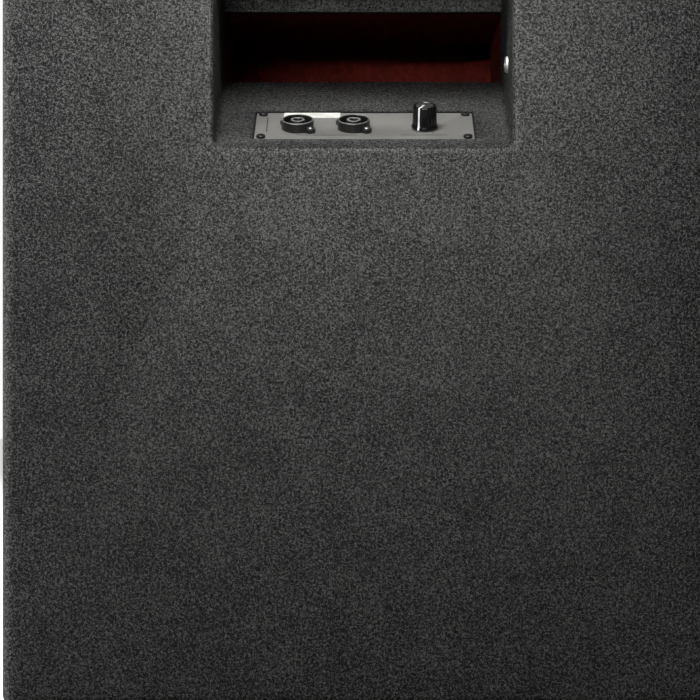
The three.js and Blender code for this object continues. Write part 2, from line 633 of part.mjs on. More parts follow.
function plate() {
  const base = new THREE.ExtrudeGeometry(roundedOutline(PLATE_WIDTH / 2, PLATE_DEPTH / 2, 2.5), {
    depth: PLATE_THICKNESS, bevelEnabled: false, curveSegments: 3,
  }).translate(PLATE_X, plateMiddleY, PLATE_BACK);
  let sheet = solid(base);
  const through = (radius, x, y, sides) =>
    solid(rod(radius, PLATE_BACK - 1, PLATE_TOP + 1, sides).translate(x, y, 0));
  for (const x of SOCKET_X) sheet = sheet.subtract(through(13, x, socketY, 24));
  sheet = sheet.subtract(through(3.9, KNOB_X, knobY, 16));
  for (const [x, y] of plateScrewPlaces) sheet = sheet.subtract(through(2.2, x, y, 12));
  piece(shelfFrame, "connection_plate", PLATE_GREY, sheet);

  const frameHigh = PLATE_BACK - GAP;
  const ring = solid(box(
    [PLATE_X - PLATE_WIDTH / 2 + 0.5, PLATE_FRONT_Y - PLATE_DEPTH + 0.5, frameHigh - GASKET],
    [PLATE_X + PLATE_WIDTH / 2 - 0.5, PLATE_FRONT_Y - 0.5, frameHigh],
  )).subtract(solid(plateWindow()));
  const holes = plateScrewPlaces.map(([x, y]) => solid(rod(2.2, -8, 0, 12).translate(x, y, 0)));
  piece(shelfFrame, "plate_gasket", FOAM, without(ring, holes));

  const screw = turned([[0, -22], [1.8, -22], [1.8, GAP], [3.7, GAP], [3.7, 1.6], [2.6, 2.7], [0, 3]], 12);
  plateScrewPlaces.forEach(([x, y], i) => {
    piece(shelfFrame, `plate_screw_${i + 1}`, BLACK_METAL, screw).position.set(x, y, PLATE_TOP);
  });
  piece(shelfFrame, "blank_label", LABEL_WHITE,
    box([19, PLATE_FRONT_Y - 68.2, PLATE_TOP + GAP], [66.6, PLATE_FRONT_Y - 55.2, PLATE_TOP + GAP + 0.3]));
}

// A round four-pole twist-lock socket's shell: a tube with a rim above the plate and two ears.
// Z = 0 on the plate's top face.
function socketShell() {
  const tube = solid(turnedRing([
    [WELL_RADIUS, SOCKET_LOW], [12.7, SOCKET_LOW], [12.7, GAP], [SOCKET_RADIUS, GAP],
    [SOCKET_RADIUS, SOCKET_RIM - 0.8], [SOCKET_RADIUS - 0.8, SOCKET_RIM], [11.8, SOCKET_RIM],
    [WELL_RADIUS, SOCKET_RIM - 0.6],
  ]));
  const ear = (angle) =>
    solid(
      raised(roundedOutline(4.2, 4, 3), 2.6)
        .translate(14.6, 0, GAP)
        .rotateZ(angle),
    );
  const core = solid(rod(12, -1, SOCKET_RIM + 1, 24));
  const earTurn = Math.PI / 4;
  const ears = [earTurn + Math.PI / 2, earTurn - Math.PI / 2].map((a) => ear(a).subtract(core));
  return ears.reduce((whole, part) => whole.add(part), tube);
}

// The insert in the shell: a rear body with the contacts, and the hollow centre post.
function socketInsert() {
  const body = WELL_RADIUS - GAP;
  return solid(turned([
    [0, SOCKET_LOW], [body, SOCKET_LOW], [body, -9], [6.2, -9], [6.2, SOCKET_RIM - 0.9],
    [5.6, SOCKET_RIM - 0.3], [3.6, SOCKET_RIM - 0.3], [3.2, -6], [0, -6],
  ]));
}

function sockets() {
  const shell = geometryOf(socketShell());
  const insert = geometryOf(socketInsert());
  ["input_socket", "link_socket"].forEach((name, i) => {
    const at = [SOCKET_X[i], socketY, PLATE_TOP];
    piece(shelfFrame, name, BLACK_PLASTIC, shell).position.set(...at);
    piece(shelfFrame, `${name}_insert`, BLACK_PLASTIC, insert).position.set(...at);
  });
}

// The knob stands on its potentiometer's shaft. Flutes run up its side.
function knobOutline(radius, flutes, depth) {
  const shape = new THREE.Shape();
  const steps = flutes * 2;
  for (let i = 0; i < steps; i++) {
    const a = (2 * Math.PI * i) / steps;
    const r = i % 2 === 0 ? radius - depth : radius;
    const point = [r * Math.cos(a), r * Math.sin(a)];
    if (i === 0) shape.moveTo(...point);
    else shape.lineTo(...point);
  }
  shape.closePath();
  return shape;
}

function levelControl() {
  const knobFoot = 1;
  const skirt = solid(raised(knobOutline(KNOB_RADIUS, 15, 0.7), KNOB_HEIGHT - 1));
  const cap = solid(rod(KNOB_RADIUS - 1, KNOB_HEIGHT - 1.5, KNOB_HEIGHT, 20));
  const bore = solid(rod(4.6, -1, 9, 16));
  const shaftBore = solid(rod(3.3, 7, 14, 16));
  const body = skirt.add(cap).subtract(bore).subtract(shaftBore);
  const knob = piece(shelfFrame, "level_knob", GLOSS_BLACK, body);
  knob.position.set(KNOB_X, knobY, PLATE_TOP + knobFoot);
  knob.rotation.z = THREE.MathUtils.degToRad(90 - KNOB_POINTER_TURN);
  const pot = solid(box([-8, -8.5, -12], [8, 8.5, PLATE_BACK - PLATE_TOP - GAP]))
    .add(solid(rod(3.5, -4, 6, 20)))
    .subtract(solid(rod(3.2, -9, 7, 16)));
  piece(shelfFrame, "level_potentiometer", ZINC, pot).position.set(KNOB_X, knobY, PLATE_TOP);
  piece(shelfFrame, "potentiometer_shaft", ZINC, rod(2.9, -8.5, 14.5, 16))
    .position.set(KNOB_X, knobY, PLATE_TOP);
}

// ---- amplifier behind the plate -------------------------------------------------------------------------------
function amplifier() {
  const boardTop = PLATE_TOP - 24 - GAP;
  const [front, back] = [PLATE_FRONT_Y - 12, PLATE_FRONT_Y - PLATE_DEPTH + 12];
  piece(shelfFrame, "amplifier_board", BOARD_GREEN,
    box([-76, back, boardTop - 1.6], [76, front, boardTop]));
  const finTop = boardTop - 1.6 - GAP;
  const [halfX, fins, finThick, finDeep, plateThick] = [60, 9, 2, 22, 5];
  let sink = solid(box([-halfX, back, finTop - plateThick], [halfX, front, finTop]));
  for (let i = 0; i < fins; i++) {
    const x = -halfX + ((2 * halfX - finThick) * i) / (fins - 1);
    sink = sink.add(solid(box([x, back, finTop - plateThick - finDeep], [x + finThick, front, finTop - 1])));
  }
  piece(shelfFrame, "heat_sink", ALUMINIUM, sink);
}

// The lead from the amplifier board to the driver's terminal.
function speakerLead() {
  const from = new THREE.Vector3(70, PLATE_FRONT_Y - 40, PLATE_TOP - 24 - GAP - 1.6 - 2);
  from.applyMatrix4(shelfFrame.matrix);
  const to = new THREE.Vector3(150.8, 0, -89).applyMatrix4(driverFrame.matrix);
  const route = new THREE.CatmullRomCurve3([
    from,
    from.clone().add(new THREE.Vector3(6, -6, -22)),
    new THREE.Vector3(150, 150, 330),
    new THREE.Vector3(170, 80, 300),
    new THREE.Vector3(172, -20, 300),
    new THREE.Vector3(168, -110, 301),
    to.clone().add(new THREE.Vector3(14, 0, 0)),
    to,
  ]);
  const section = new THREE.Shape().absarc(0, 0, 2.5, 0, 2 * Math.PI);
  piece(cabinet, "speaker_lead", RUBBER,
    new THREE.ExtrudeGeometry(section, {
      extrudePath: route, steps: 32, bevelEnabled: false, curveSegments: 3,
    }));
}

piece(cabinet, "cabinet_coating", COATING, coating());
panels();
recessBoards();
brace();
feet();
wallBolt();
grille();
driver();
plate();
sockets();
levelControl();
amplifier();
speakerLead();

export default cabinet;
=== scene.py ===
"""The looks of the large subwoofer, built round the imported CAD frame. Metres, +Z up.

The rear face, with the connection recess, looks along +Y. Every length below is worked
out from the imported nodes' boxes or is a named size of a detail that the frame leaves out.
"""

import json
import math

import bmesh
import bpy
from mathutils import Matrix, Vector


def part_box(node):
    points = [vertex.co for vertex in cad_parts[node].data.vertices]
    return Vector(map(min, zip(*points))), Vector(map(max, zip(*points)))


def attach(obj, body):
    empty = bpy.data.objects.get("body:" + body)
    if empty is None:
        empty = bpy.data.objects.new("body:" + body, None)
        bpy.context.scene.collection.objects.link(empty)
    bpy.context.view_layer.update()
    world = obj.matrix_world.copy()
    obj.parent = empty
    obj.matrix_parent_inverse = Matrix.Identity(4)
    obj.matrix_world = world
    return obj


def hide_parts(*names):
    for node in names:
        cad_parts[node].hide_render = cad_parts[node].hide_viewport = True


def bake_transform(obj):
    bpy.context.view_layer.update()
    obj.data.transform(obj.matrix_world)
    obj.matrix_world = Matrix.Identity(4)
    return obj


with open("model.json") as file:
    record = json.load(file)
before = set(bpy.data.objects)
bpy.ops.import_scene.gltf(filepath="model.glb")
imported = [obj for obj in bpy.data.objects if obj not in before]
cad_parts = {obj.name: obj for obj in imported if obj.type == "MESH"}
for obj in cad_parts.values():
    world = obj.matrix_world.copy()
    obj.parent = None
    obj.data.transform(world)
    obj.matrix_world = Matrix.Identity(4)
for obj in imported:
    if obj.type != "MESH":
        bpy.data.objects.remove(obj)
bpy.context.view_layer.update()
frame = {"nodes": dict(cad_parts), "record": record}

MM = 0.001

# ---- sizes that the frame gives -------------------------------------------------------
SKIN_LOW, SKIN_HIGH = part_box("cabinet_coating")
GRILLE_LOW, GRILLE_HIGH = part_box("front_grille")
FOAM_LOW, FOAM_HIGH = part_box("grille_foam")
REAR_Y = SKIN_HIGH.y

# ---- sizes of the coated skin (as in the CAD part) ---------------------------------------
COAT = 1.5 * MM
EDGE_RADIUS = 10 * MM
SKIN_GAP = 1.8 * MM  # from the coated surface to the wood
PLY = 18 * MM
FRONT_RECESS = 48 * MM
RECESS_HALF = 121.5 * MM
RECESS_DEPTH = 160 * MM
RECESS_LIP = 6.5 * MM
RECESS_CORNER = 6 * MM
SHELF_Z = SKIN_LOW.z + 453 * MM
SHELF_RISE = 71 * MM
SLOT_LOW = SHELF_Z + SHELF_RISE
SLOT_HIGH = SKIN_LOW.z + 586 * MM
CEILING = SKIN_LOW.z + 640 * MM
SLOPE = math.atan2(SHELF_RISE, RECESS_DEPTH)
BACK_Y = REAR_Y - RECESS_DEPTH
DRIVER_Z = SKIN_LOW.z + 290 * MM
BAFFLE_Y = SKIN_LOW.y + FRONT_RECESS
DRIVER_HOLE = 212 * MM

# ---- painted highlights and painted light on the coating: how much, at which lean from the rear face, over what width --
# Painted highlights: the coating is lighter along the recess lips and the outer rounded edges.
LIP_HIGHLIGHT_LEAN, LIP_HIGHLIGHT_WIDTH = math.radians(24), math.radians(22)
EDGE_HIGHLIGHT, EDGE_HIGHLIGHT_LEAN, EDGE_HIGHLIGHT_WIDTH = 0.45, math.radians(50), math.radians(40)
# The shelf's upward-facing coating is made lighter: painted light from above.
SHELF_PAINTED_LIGHT, SHELF_UP = 0.3, 0.8
# A thin painted highlight along the port slot's upper edge.
PORT_EDGE_HIGHLIGHT = 0.8

# ---- the connection plate, in the shelf's own frame -----------------------------------------
PLATE_SIZE = (181 * MM, 69 * MM, 2 * MM)
PLATE_X = -1.1 * MM
PLATE_SETBACK = 24.6 * MM
PLATE_SINK = 1 * MM
PLATE_MARGIN = 2 * MM
SCREW_INSET = 5.5 * MM
SOCKET_X = (54.1 * MM, 7.7 * MM)
SOCKET_UP = 29.3 * MM
SOCKET_RADIUS = 13.4 * MM
SOCKET_RIM = 8.1 * MM
WELL_RADIUS = 11.5 * MM
POST_RADIUS = 6.2 * MM
KNOB_X = -51.1 * MM
KNOB_UP = 30 * MM
KNOB_FOOT = 1 * MM
KNOB_HEIGHT = 19.2 * MM
KNOB_RADIUS = 11.1 * MM
POINTER_TURN = math.radians(30)
PLATE_TOP = -PLATE_SINK
SOCKET_Y = -PLATE_SETBACK - SOCKET_UP
KNOB_Y = -PLATE_SETBACK - KNOB_UP

# The shelf's frame: X across, -Y up the slope, Z out of the coated shelf.
SHELF_FRAME = Matrix.Translation((0, REAR_Y, SHELF_Z)) @ Matrix.Rotation(-SLOPE, 4, "X")
DRIVER_FRAME = Matrix.Translation((0, BAFFLE_Y, DRIVER_Z)) @ Matrix.Rotation(
    math.pi / 2, 4, "X"
)


# =========================================================================================
# Mesh helpers
# =========================================================================================
def new_object(name, verts, faces, smooth=True):
    """A mesh object from points and faces, with its faces turned outwards."""
    mesh = bpy.data.meshes.new(name)
    mesh.from_pydata([tuple(v) for v in verts], [], faces)
    work = bmesh.new()
    work.from_mesh(mesh)
    bmesh.ops.remove_doubles(work, verts=work.verts, dist=1e-7)
    bmesh.ops.recalc_face_normals(work, faces=work.faces)
    for face in work.faces:
        face.smooth = smooth
    work.to_mesh(mesh)
    work.free()
    obj = bpy.data.objects.new(name, mesh)
    bpy.context.scene.collection.objects.link(obj)
    return obj


def place(obj, matrix):
    """Moves the points themselves, so that the object stays at the origin."""
    obj.data.transform(matrix)
    return obj


def apply_modifiers(obj):
    depsgraph = bpy.context.evaluated_depsgraph_get()
    made = bpy.data.meshes.new_from_object(obj.evaluated_get(depsgraph))
    obj.modifiers.clear()
    obj.data = made
    return obj


def bevel(obj, width, segments=3, angle=35):
    """Rounds every edge sharper than the angle, and applies it."""
    mod = obj.modifiers.new("bevel", "BEVEL")
    mod.width = width
    mod.segments = segments
    mod.limit_method = "ANGLE"
    mod.angle_limit = math.radians(angle)
    return apply_modifiers(obj)


def cut(obj, *tools):
    """Cuts each tool's solid out of obj, and removes the tools."""
    for tool in tools:
        mod = obj.modifiers.new("cut", "BOOLEAN")
        mod.object = tool
        mod.solver = "EXACT"
        apply_modifiers(obj)
        bpy.data.objects.remove(tool)
    return obj


def smooth_by_angle(obj, degrees=35):
    """Smooth faces with sharp edges past the angle."""
    work = bmesh.new()
    work.from_mesh(obj.data)
    limit = math.radians(degrees)
    for face in work.faces:
        face.smooth = True
    for edge in work.edges:
        edge.smooth = len(edge.link_faces) == 2 and edge.calc_face_angle(0) < limit
    work.to_mesh(obj.data)
    work.free()
    return obj


def join(name, objects):
    """One object out of several that share the first one's material."""
    work = bmesh.new()
    for obj in objects:
        work.from_mesh(obj.data)
    mesh = bpy.data.meshes.new(name)
    work.to_mesh(mesh)
    work.free()
    whole = bpy.data.objects.new(name, mesh)
    bpy.context.scene.collection.objects.link(whole)
    for obj in objects:
        bpy.data.objects.remove(obj)
    return whole


def block(name, low, high):
    """A box from its lowest corner to its highest."""
    xs, ys, zs = zip(low, high)
    verts = [(x, y, z) for z in zs for y in ys for x in xs]
    faces = [(0, 1, 3, 2), (4, 5, 7, 6), (0, 1, 5, 4), (2, 3, 7, 6), (0, 2, 6, 4), (1, 3, 7, 5)]
    return new_object(name, verts, faces, smooth=False)


def turned(name, outline, sides=64):
    """A body turned about Z from [radius, z] points. Its ends lie on the axis, or it closes
    on itself if they don't."""
    closed = outline[0][0] > 1e-9
    rows = []
    verts = []
    for radius, z in outline:
        row = []
        for i in range(sides if radius > 1e-9 else 1):
            a = 2 * math.pi * i / sides
            row.append(len(verts))
            verts.append((radius * math.cos(a), radius * math.sin(a), z))
        rows.append(row)
    pairs = list(zip(rows, rows[1:]))
    if closed:
        pairs.append((rows[-1], rows[0]))
    faces = []
    for a, b in pairs:
        for i in range(sides):
            j = (i + 1) % sides
            ring = [a[i % len(a)], a[j % len(a)], b[j % len(b)], b[i % len(b)]]
            unique = list(dict.fromkeys(ring))
            if len(unique) > 2:
                faces.append(unique)
    return new_object(name, verts, faces)


def prism(name, outline, low, high):
    """A closed outline in X and Y, raised from low to high."""
    n = len(outline)
    verts = [(x, y, z) for z in (low, high) for x, y in outline]
    sides = [(i, (i + 1) % n, n + (i + 1) % n, n + i) for i in range(n)]
    return new_object(name, verts, [tuple(range(n)), tuple(range(n, 2 * n)), *sides], False)


def round_rectangle(x0, x1, y0, y1, radius, corner_steps=6, side_steps=8):
    """Points round a rectangle with round corners, the same number for every size."""
    corners = [
        (x1 - radius, y1 - radius, 0),
        (x0 + radius, y1 - radius, math.pi / 2),
        (x0 + radius, y0 + radius, math.pi),
        (x1 - radius, y0 + radius, 1.5 * math.pi),
    ]
    points = []
    for k, (cx, cy, turn) in enumerate(corners):
        for i in range(corner_steps + 1):
            a = turn + (math.pi / 2) * i / corner_steps
            points.append((cx + radius * math.cos(a), cy + radius * math.sin(a)))
        nx, ny, next_turn = corners[(k + 1) % 4]
        end = (nx + radius * math.cos(next_turn), ny + radius * math.sin(next_turn))
        last = points[-1]
        for i in range(1, side_steps):
            t = i / side_steps
            points.append((last[0] + (end[0] - last[0]) * t, last[1] + (end[1] - last[1]) * t))
    return points


def loft(name, rings, closed=False, capped=False):
    """A skin through closed rings that have the same number of points. Closed joins the
    last ring to the first, and capped closes both ends with a face."""
    n = len(rings[0])
    verts = [p for ring in rings for p in ring]
    faces = []
    for k in range(len(rings) if closed else len(rings) - 1):
        after = (k + 1) % len(rings)
        for i in range(n):
            j = (i + 1) % n
            faces.append((k * n + i, k * n + j, after * n + j, after * n + i))
    if capped:
        last = (len(rings) - 1) * n
        faces.append(tuple(range(n)))
        faces.append(tuple(range(last, last + n)))
    return new_object(name, verts, faces)


def band(name, middle, across, width, thickness):
    """A flat strip along [point, outward direction] pairs."""
    verts = []
    for point, out in middle:
        for side, lift in ((-1, 0), (1, 0), (1, 1), (-1, 1)):
            verts.append(point + across * (side * width / 2) + out * (lift * thickness))
    faces = [(0, 1, 2, 3), tuple(4 * (len(middle) - 1) + i for i in range(4))]
    for k in range(len(middle) - 1):
        for i in range(4):
            j = (i + 1) % 4
            faces.append((4 * k + i, 4 * k + j, 4 * k + 4 + j, 4 * k + 4 + i))
    return new_object(name, verts, faces, smooth=False)


def cross_recess(name, length, width, low, high):
    """The cutter for a cross slot in a screw head, narrower towards its bottom."""
    arms = []
    for turn in (0, math.pi / 2):
        arm = []
        for z, grow in ((low, 0.55), (high, 1.0)):
            x, y = length / 2 * grow, width / 2 * grow
            arm.append([(x, y, z), (-x, y, z), (-x, -y, z), (x, -y, z)])
        arms.append(place(loft(name, arm, capped=True), Matrix.Rotation(turn, 4, "Z")))
    return arms


def pan_screw(name, radius, height, shank, length, sides=40):
    """A pan-head screw with a cross recess. Its head stands on Z = 0, its shank below."""
    crown = 0.55 * height
    outline = [(0, -length), (shank * 0.5, -length), (shank, -length + shank), (shank, 0)]
    outline += [(radius - 0.1 * MM, 0), (radius, 0.15 * MM), (radius, height - crown)]
    for s, c in rounded_steps(5)[1:]:
        outline.append((radius * (0.45 + 0.55 * c), height - crown + crown * 0.85 * s))
    outline.append((0, height))
    screw = turned(name, outline, sides)
    slot = 1.15 * radius
    cut(screw, *cross_recess(name, slot, slot * 0.24, height * 0.35, height + 0.2 * MM))
    return smooth_by_angle(screw, 38)


# =========================================================================================
# Material helpers
# =========================================================================================
class Nodes:
    """A material's node tree, with short ways to add and join nodes."""

    def __init__(self, name, **shader):
        self.material = bpy.data.materials.new(name)
        self.material.use_nodes = True
        self.tree = self.material.node_tree
        self.shader = self.tree.nodes["Principled BSDF"]
        for socket, value in shader.items():
            self.shader.inputs[socket.replace("_", " ")].default_value = value
        self.place = self.add("ShaderNodeTexCoord").outputs["Object"]

    def add(self, kind, inputs=None, **settings):
        node = self.tree.nodes.new(kind)
        for key, value in settings.items():
            setattr(node, key, value)
        for key, value in (inputs or {}).items():
            if isinstance(value, bpy.types.NodeSocket):
                self.tree.links.new(value, node.inputs[key])
            else:
                node.inputs[key].default_value = value
        return node

    def set(self, socket, value):
        self.tree.links.new(value, self.shader.inputs[socket])

    def noise(self, scale, detail=2.0, roughness=0.5, vector=None):
        inputs = {"Vector": vector or self.place, "Scale": scale, "Detail": detail,
                  "Roughness": roughness}
        return self.add("ShaderNodeTexNoise", inputs).outputs["Fac"]

    def noise_vector(self, scale, amount):
        """A small push in three directions."""
        inputs = {"Vector": self.place, "Scale": scale, "Detail": 1.0}
        colour = self.add("ShaderNodeTexNoise", inputs).outputs["Color"]
        centred = self.vector_math("SUBTRACT", colour, (0.5, 0.5, 0.5))
        return self.add("ShaderNodeVectorMath", {0: centred, "Scale": amount},
                        operation="SCALE").outputs[0]

    def vector_math(self, operation, a, b):
        return self.add("ShaderNodeVectorMath", {0: a, 1: b}, operation=operation).outputs[0]

    def cells(self, scale):
        inputs = {"Vector": self.place, "Scale": scale}
        return self.add("ShaderNodeTexVoronoi", inputs).outputs["Distance"]

    def ramp(self, value, *stops):
        node = self.add("ShaderNodeValToRGB", {"Fac": value})
        ramp = node.color_ramp
        while len(ramp.elements) < len(stops):
            ramp.elements.new(0.5)
        for element, (position, colour) in zip(ramp.elements, stops):
            element.position = position
            element.color = (*colour, 1) if len(colour) == 3 else colour
        return node.outputs["Color"]

    def math(self, operation, a, b=0.0):
        return self.add("ShaderNodeMath", {0: a, 1: b}, operation=operation).outputs[0]

    def span(self, value, low, high, start=0.0, end=1.0):
        inputs = {"Value": value, "From Min": low, "From Max": high, "To Min": start, "To Max": end}
        return self.add("ShaderNodeMapRange", inputs).outputs["Result"]

    def bump(self, height, distance, strength=1.0):
        inputs = {"Height": height, "Distance": distance, "Strength": strength}
        return self.add("ShaderNodeBump", inputs).outputs["Normal"]


def coating_material():
    """Sprayed coating: hard grains about 2 mm apart, dull in the valleys, glossier on top."""
    m = Nodes("sprayed_coating", Specular_IOR_Level=0.3)
    pushed = m.vector_math("ADD", m.place, m.noise_vector(290, 5 * MM))
    lumps = m.noise(590, 2, 0.65, pushed)
    fine = m.noise(1270, 1, 0.5)
    patches = m.noise(26, 2)
    height = m.math("ADD", lumps, m.math("MULTIPLY", fine, 0.55))
    m.set("Normal", m.bump(height, 2.4 * MM, 1.0))
    tone = m.math("ADD", height, m.math("MULTIPLY", patches, 0.10))
    grain = m.ramp(tone, (0.72, (0.002, 0.002, 0.002)), (0.83, (0.015, 0.015, 0.0147)),
                   (0.945, (0.150, 0.150, 0.146)))
    # Painted highlights and painted light: the attribute read here lightens the grain on the recess
    # lips, outer edges, port slot's upper edge and shelf.
    painted_light_mask = m.add("ShaderNodeAttribute", attribute_name="painted_light").outputs["Fac"]
    lighter = m.ramp(tone, (0.71, (0.03, 0.03, 0.029)), (0.95, (0.24, 0.24, 0.23)))
    mixed = m.add("ShaderNodeMix", {0: painted_light_mask, 6: grain, 7: lighter}, data_type="RGBA")
    m.set("Base Color", mixed.outputs[2])
    m.set("Roughness", m.span(height, 0.60, 0.95, 0.85, 0.55))
    return m.material


def plywood_material():
    """Bare reddish plywood: long grain, pores and darker bands."""
    m = Nodes("dark_plywood", Roughness=0.7, Specular_IOR_Level=0.1)
    stretch = m.add("ShaderNodeMapping", {"Vector": m.place, "Scale": (1, 0.12, 1)}).outputs[0]
    grain = m.noise(160, 6, 0.65, stretch)
    pores = m.noise(900, 2, 0.5, stretch)
    m.set("Base Color", m.ramp(grain, (0.3, (0.11, 0.012, 0.009)), (0.55, (0.21, 0.024, 0.017)),
                               (0.75, (0.29, 0.040, 0.026))))
    m.set("Roughness", m.span(pores, 0.3, 0.7, 0.6, 0.85))
    m.set("Normal", m.bump(pores, 0.2 * MM, 0.5))
    return m.material


# Black wood: the battens' paint, and painted shade on the recess shelf in the gap round the plate.
def black_wood_and_shade_material():
    m = Nodes("black_wood_and_painted_shade", Roughness=0.7)
    brush = m.noise(300, 4)
    m.set("Base Color", m.ramp(brush, (0.3, (0.010, 0.010, 0.010)), (0.7, (0.022, 0.022, 0.021))))
    m.set("Normal", m.bump(brush, 0.15 * MM, 0.5))
    return m.material


def metal_material(name, colour, roughness, grain=600, metallic=1.0):
    """Plated or painted metal with a fine grain and faint handling marks."""
    m = Nodes(name, Metallic=metallic)
    fine = m.noise(grain, 3)
    marks = m.noise(60, 4, 0.7)
    darker = tuple(c * 0.8 for c in colour)
    m.set("Base Color", m.ramp(marks, (0.3, darker), (0.65, colour)))
    m.set("Roughness", m.span(fine, 0.3, 0.7, roughness * 0.85, roughness * 1.2))
    m.set("Normal", m.bump(fine, 0.05 * MM, 0.3))
    return m.material


def plate_material():
    """Warm grey satin paint over sheet steel, with a fine leather-like powder texture."""
    m = Nodes("plate_grey_paint", Metallic=0.0, Specular_IOR_Level=0.6, Coat_Weight=0.25,
              Coat_Roughness=0.25)
    fine = m.noise(1500, 3)
    wide = m.noise(18, 3)
    m.set("Base Color", m.ramp(wide, (0.3, (0.200, 0.197, 0.183)), (0.7, (0.235, 0.231, 0.216))))
    m.set("Roughness", m.span(fine, 0.3, 0.7, 0.28, 0.42))
    m.set("Normal", m.bump(fine, 0.04 * MM, 0.4))
    return m.material


def plastic_material(name, colour, roughness, bump=0.03):
    """Moulded plastic with faint flow and a fine skin."""
    m = Nodes(name)
    fine = m.noise(1400, 3)
    flow = m.noise(80, 3)
    lighter = tuple(c * 1.35 + 0.002 for c in colour)
    m.set("Base Color", m.ramp(flow, (0.35, colour), (0.7, lighter)))
    m.set("Roughness", m.span(fine, 0.3, 0.7, roughness * 0.85, roughness * 1.2))
    m.set("Normal", m.bump(fine, bump * MM, 0.4))
    return m.material


def rubber_material():
    m = Nodes("black_rubber", Specular_IOR_Level=0.35)
    fine = m.noise(700, 4)
    m.set("Base Color", m.ramp(fine, (0.3, (0.009, 0.009, 0.009)), (0.7, (0.022, 0.022, 0.022))))
    m.set("Roughness", m.span(fine, 0.3, 0.7, 0.65, 0.9))
    m.set("Normal", m.bump(fine, 0.1 * MM, 0.5))
    return m.material


def foam_material():
    """Open-cell foam: a web of small dark cells."""
    m = Nodes("acoustic_foam", Roughness=0.95, Sheen_Weight=0.2)
    cells = m.cells(900)
    m.set("Base Color", m.ramp(cells, (0.1, (0.002, 0.002, 0.002)), (0.6, (0.012, 0.012, 0.012))))
    m.set("Normal", m.bump(cells, 0.8 * MM, 0.8))
    return m.material


def fibre_material(name, dark, light, scale=500):
    """Pressed paper pulp or resin-treated cloth."""
    m = Nodes(name, Roughness=0.85)
    web = m.noise(scale, 5, 0.7)
    m.set("Base Color", m.ramp(web, (0.35, dark), (0.65, light)))
    m.set("Normal", m.bump(web, 0.3 * MM, 0.5))
    return m.material


def board_material():
    m = Nodes("circuit_board", Roughness=0.35)
    bands = m.cells(160)
    m.set("Base Color", m.ramp(bands, (0.25, (0.010, 0.05, 0.018)), (0.45, (0.02, 0.10, 0.035))))
    m.set("Normal", m.bump(bands, 0.05 * MM, 0.4))
    return m.material


def wire_material():
    """Wound copper wire: fine rings along the coil."""
    m = Nodes("wound_copper", Metallic=1.0, Roughness=0.35)
    wave = m.add("ShaderNodeTexWave", {"Vector": m.place, "Scale": 700.0, "Distortion": 0.0},
                 bands_direction="Y").outputs["Fac"]
    m.set("Base Color", m.ramp(wave, (0.3, (0.25, 0.08, 0.03)), (0.7, (0.60, 0.24, 0.11))))
    m.set("Normal", m.bump(wave, 0.15 * MM, 0.7))
    return m.material


MATERIALS = {
    "coating": coating_material(),
    "plywood": plywood_material(),
    "black_wood_and_shade": black_wood_and_shade_material(),
    "black_metal": metal_material("black_powder_coat", (0.026, 0.026, 0.027), 0.38, 1100, 0.0),
    "plate_grey": plate_material(),
    "black_plastic": plastic_material("socket_plastic", (0.010, 0.010, 0.009), 0.34),
    "gloss_black": plastic_material("knob_plastic", (0.004, 0.004, 0.004), 0.12, 0.01),
    "rubber": rubber_material(),
    "foam": foam_material(),
    "spider_cloth": fibre_material("spider_cloth", (0.20, 0.12, 0.05), (0.40, 0.27, 0.13), 900),
    "cone_paper": fibre_material("cone_pulp", (0.010, 0.010, 0.010), (0.035, 0.034, 0.032)),
    "ferrite": fibre_material("ferrite", (0.018, 0.017, 0.017), (0.045, 0.044, 0.043), 300),
    "zinc_steel": metal_material("zinc_plate", (0.56, 0.57, 0.59), 0.28),
    "copper": wire_material(),
    "aluminium": metal_material("aluminium", (0.45, 0.46, 0.47), 0.4),
    "board_green": board_material(),
    "label_white": plastic_material("label_film", (0.66, 0.66, 0.62), 0.45),
    "pointer_white": plastic_material("pointer_white", (0.78, 0.78, 0.76), 0.4),
    "print_black": plastic_material("print_black", (0.012, 0.012, 0.012), 0.5),
    "satin_black": plastic_material("knob_lid_plastic", (0.035, 0.035, 0.034), 0.38),
    # Grey for the socket's rim ring and post crown: painted highlights.
    "rim_painted_highlight": plastic_material("socket_rim_painted_highlight", (0.19, 0.19, 0.18), 0.3),
    "bright_zinc": metal_material("bright_zinc", (0.85, 0.85, 0.84), 0.55),
    "screw_black": metal_material("screw_black", (0.010, 0.010, 0.010), 0.35, 1100, 0.0),
    # Near-black for the strip round the plate: painted shadow.
    "shadow_gap_black": plastic_material("shadow_gap_black", (0.003, 0.003, 0.003), 0.8),
    "brass": metal_material("contact_brass", (0.55, 0.38, 0.16), 0.3),
}


def finish_piece(obj, material, body="cabinet", replaces=()):
    """Gives a piece its material and says which body it rides on."""
    obj.data.materials.clear()
    obj.data.materials.append(MATERIALS[material])
    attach(obj, body)
    if replaces:
        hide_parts(*replaces)
    return obj


# =========================================================================================
# The coated skin
# =========================================================================================
def recess_ring(y):
    """The outline of the coated recess at one depth, with the roundover at its mouth."""
    lip_centre = REAR_Y - RECESS_LIP
    over = max(0.0, y - lip_centre)
    flare = RECESS_LIP - math.sqrt(max(RECESS_LIP**2 - over**2, 0.0))
    tangent_y = REAR_Y - RECESS_LIP * (1 - math.sin(SLOPE))
    floor = SHELF_Z + (REAR_Y - y) * math.tan(SLOPE)
    if y > tangent_y:
        centre_z = SHELF_Z - RECESS_LIP * (1 - math.sin(SLOPE)) / math.cos(SLOPE)
        floor = centre_z + math.sqrt(max(RECESS_LIP**2 - over**2, 0.0))
    half = RECESS_HALF + flare
    outline = round_rectangle(-half, half, floor, CEILING + flare, RECESS_CORNER + flare)
    return [(x, y, z) for x, z in outline]


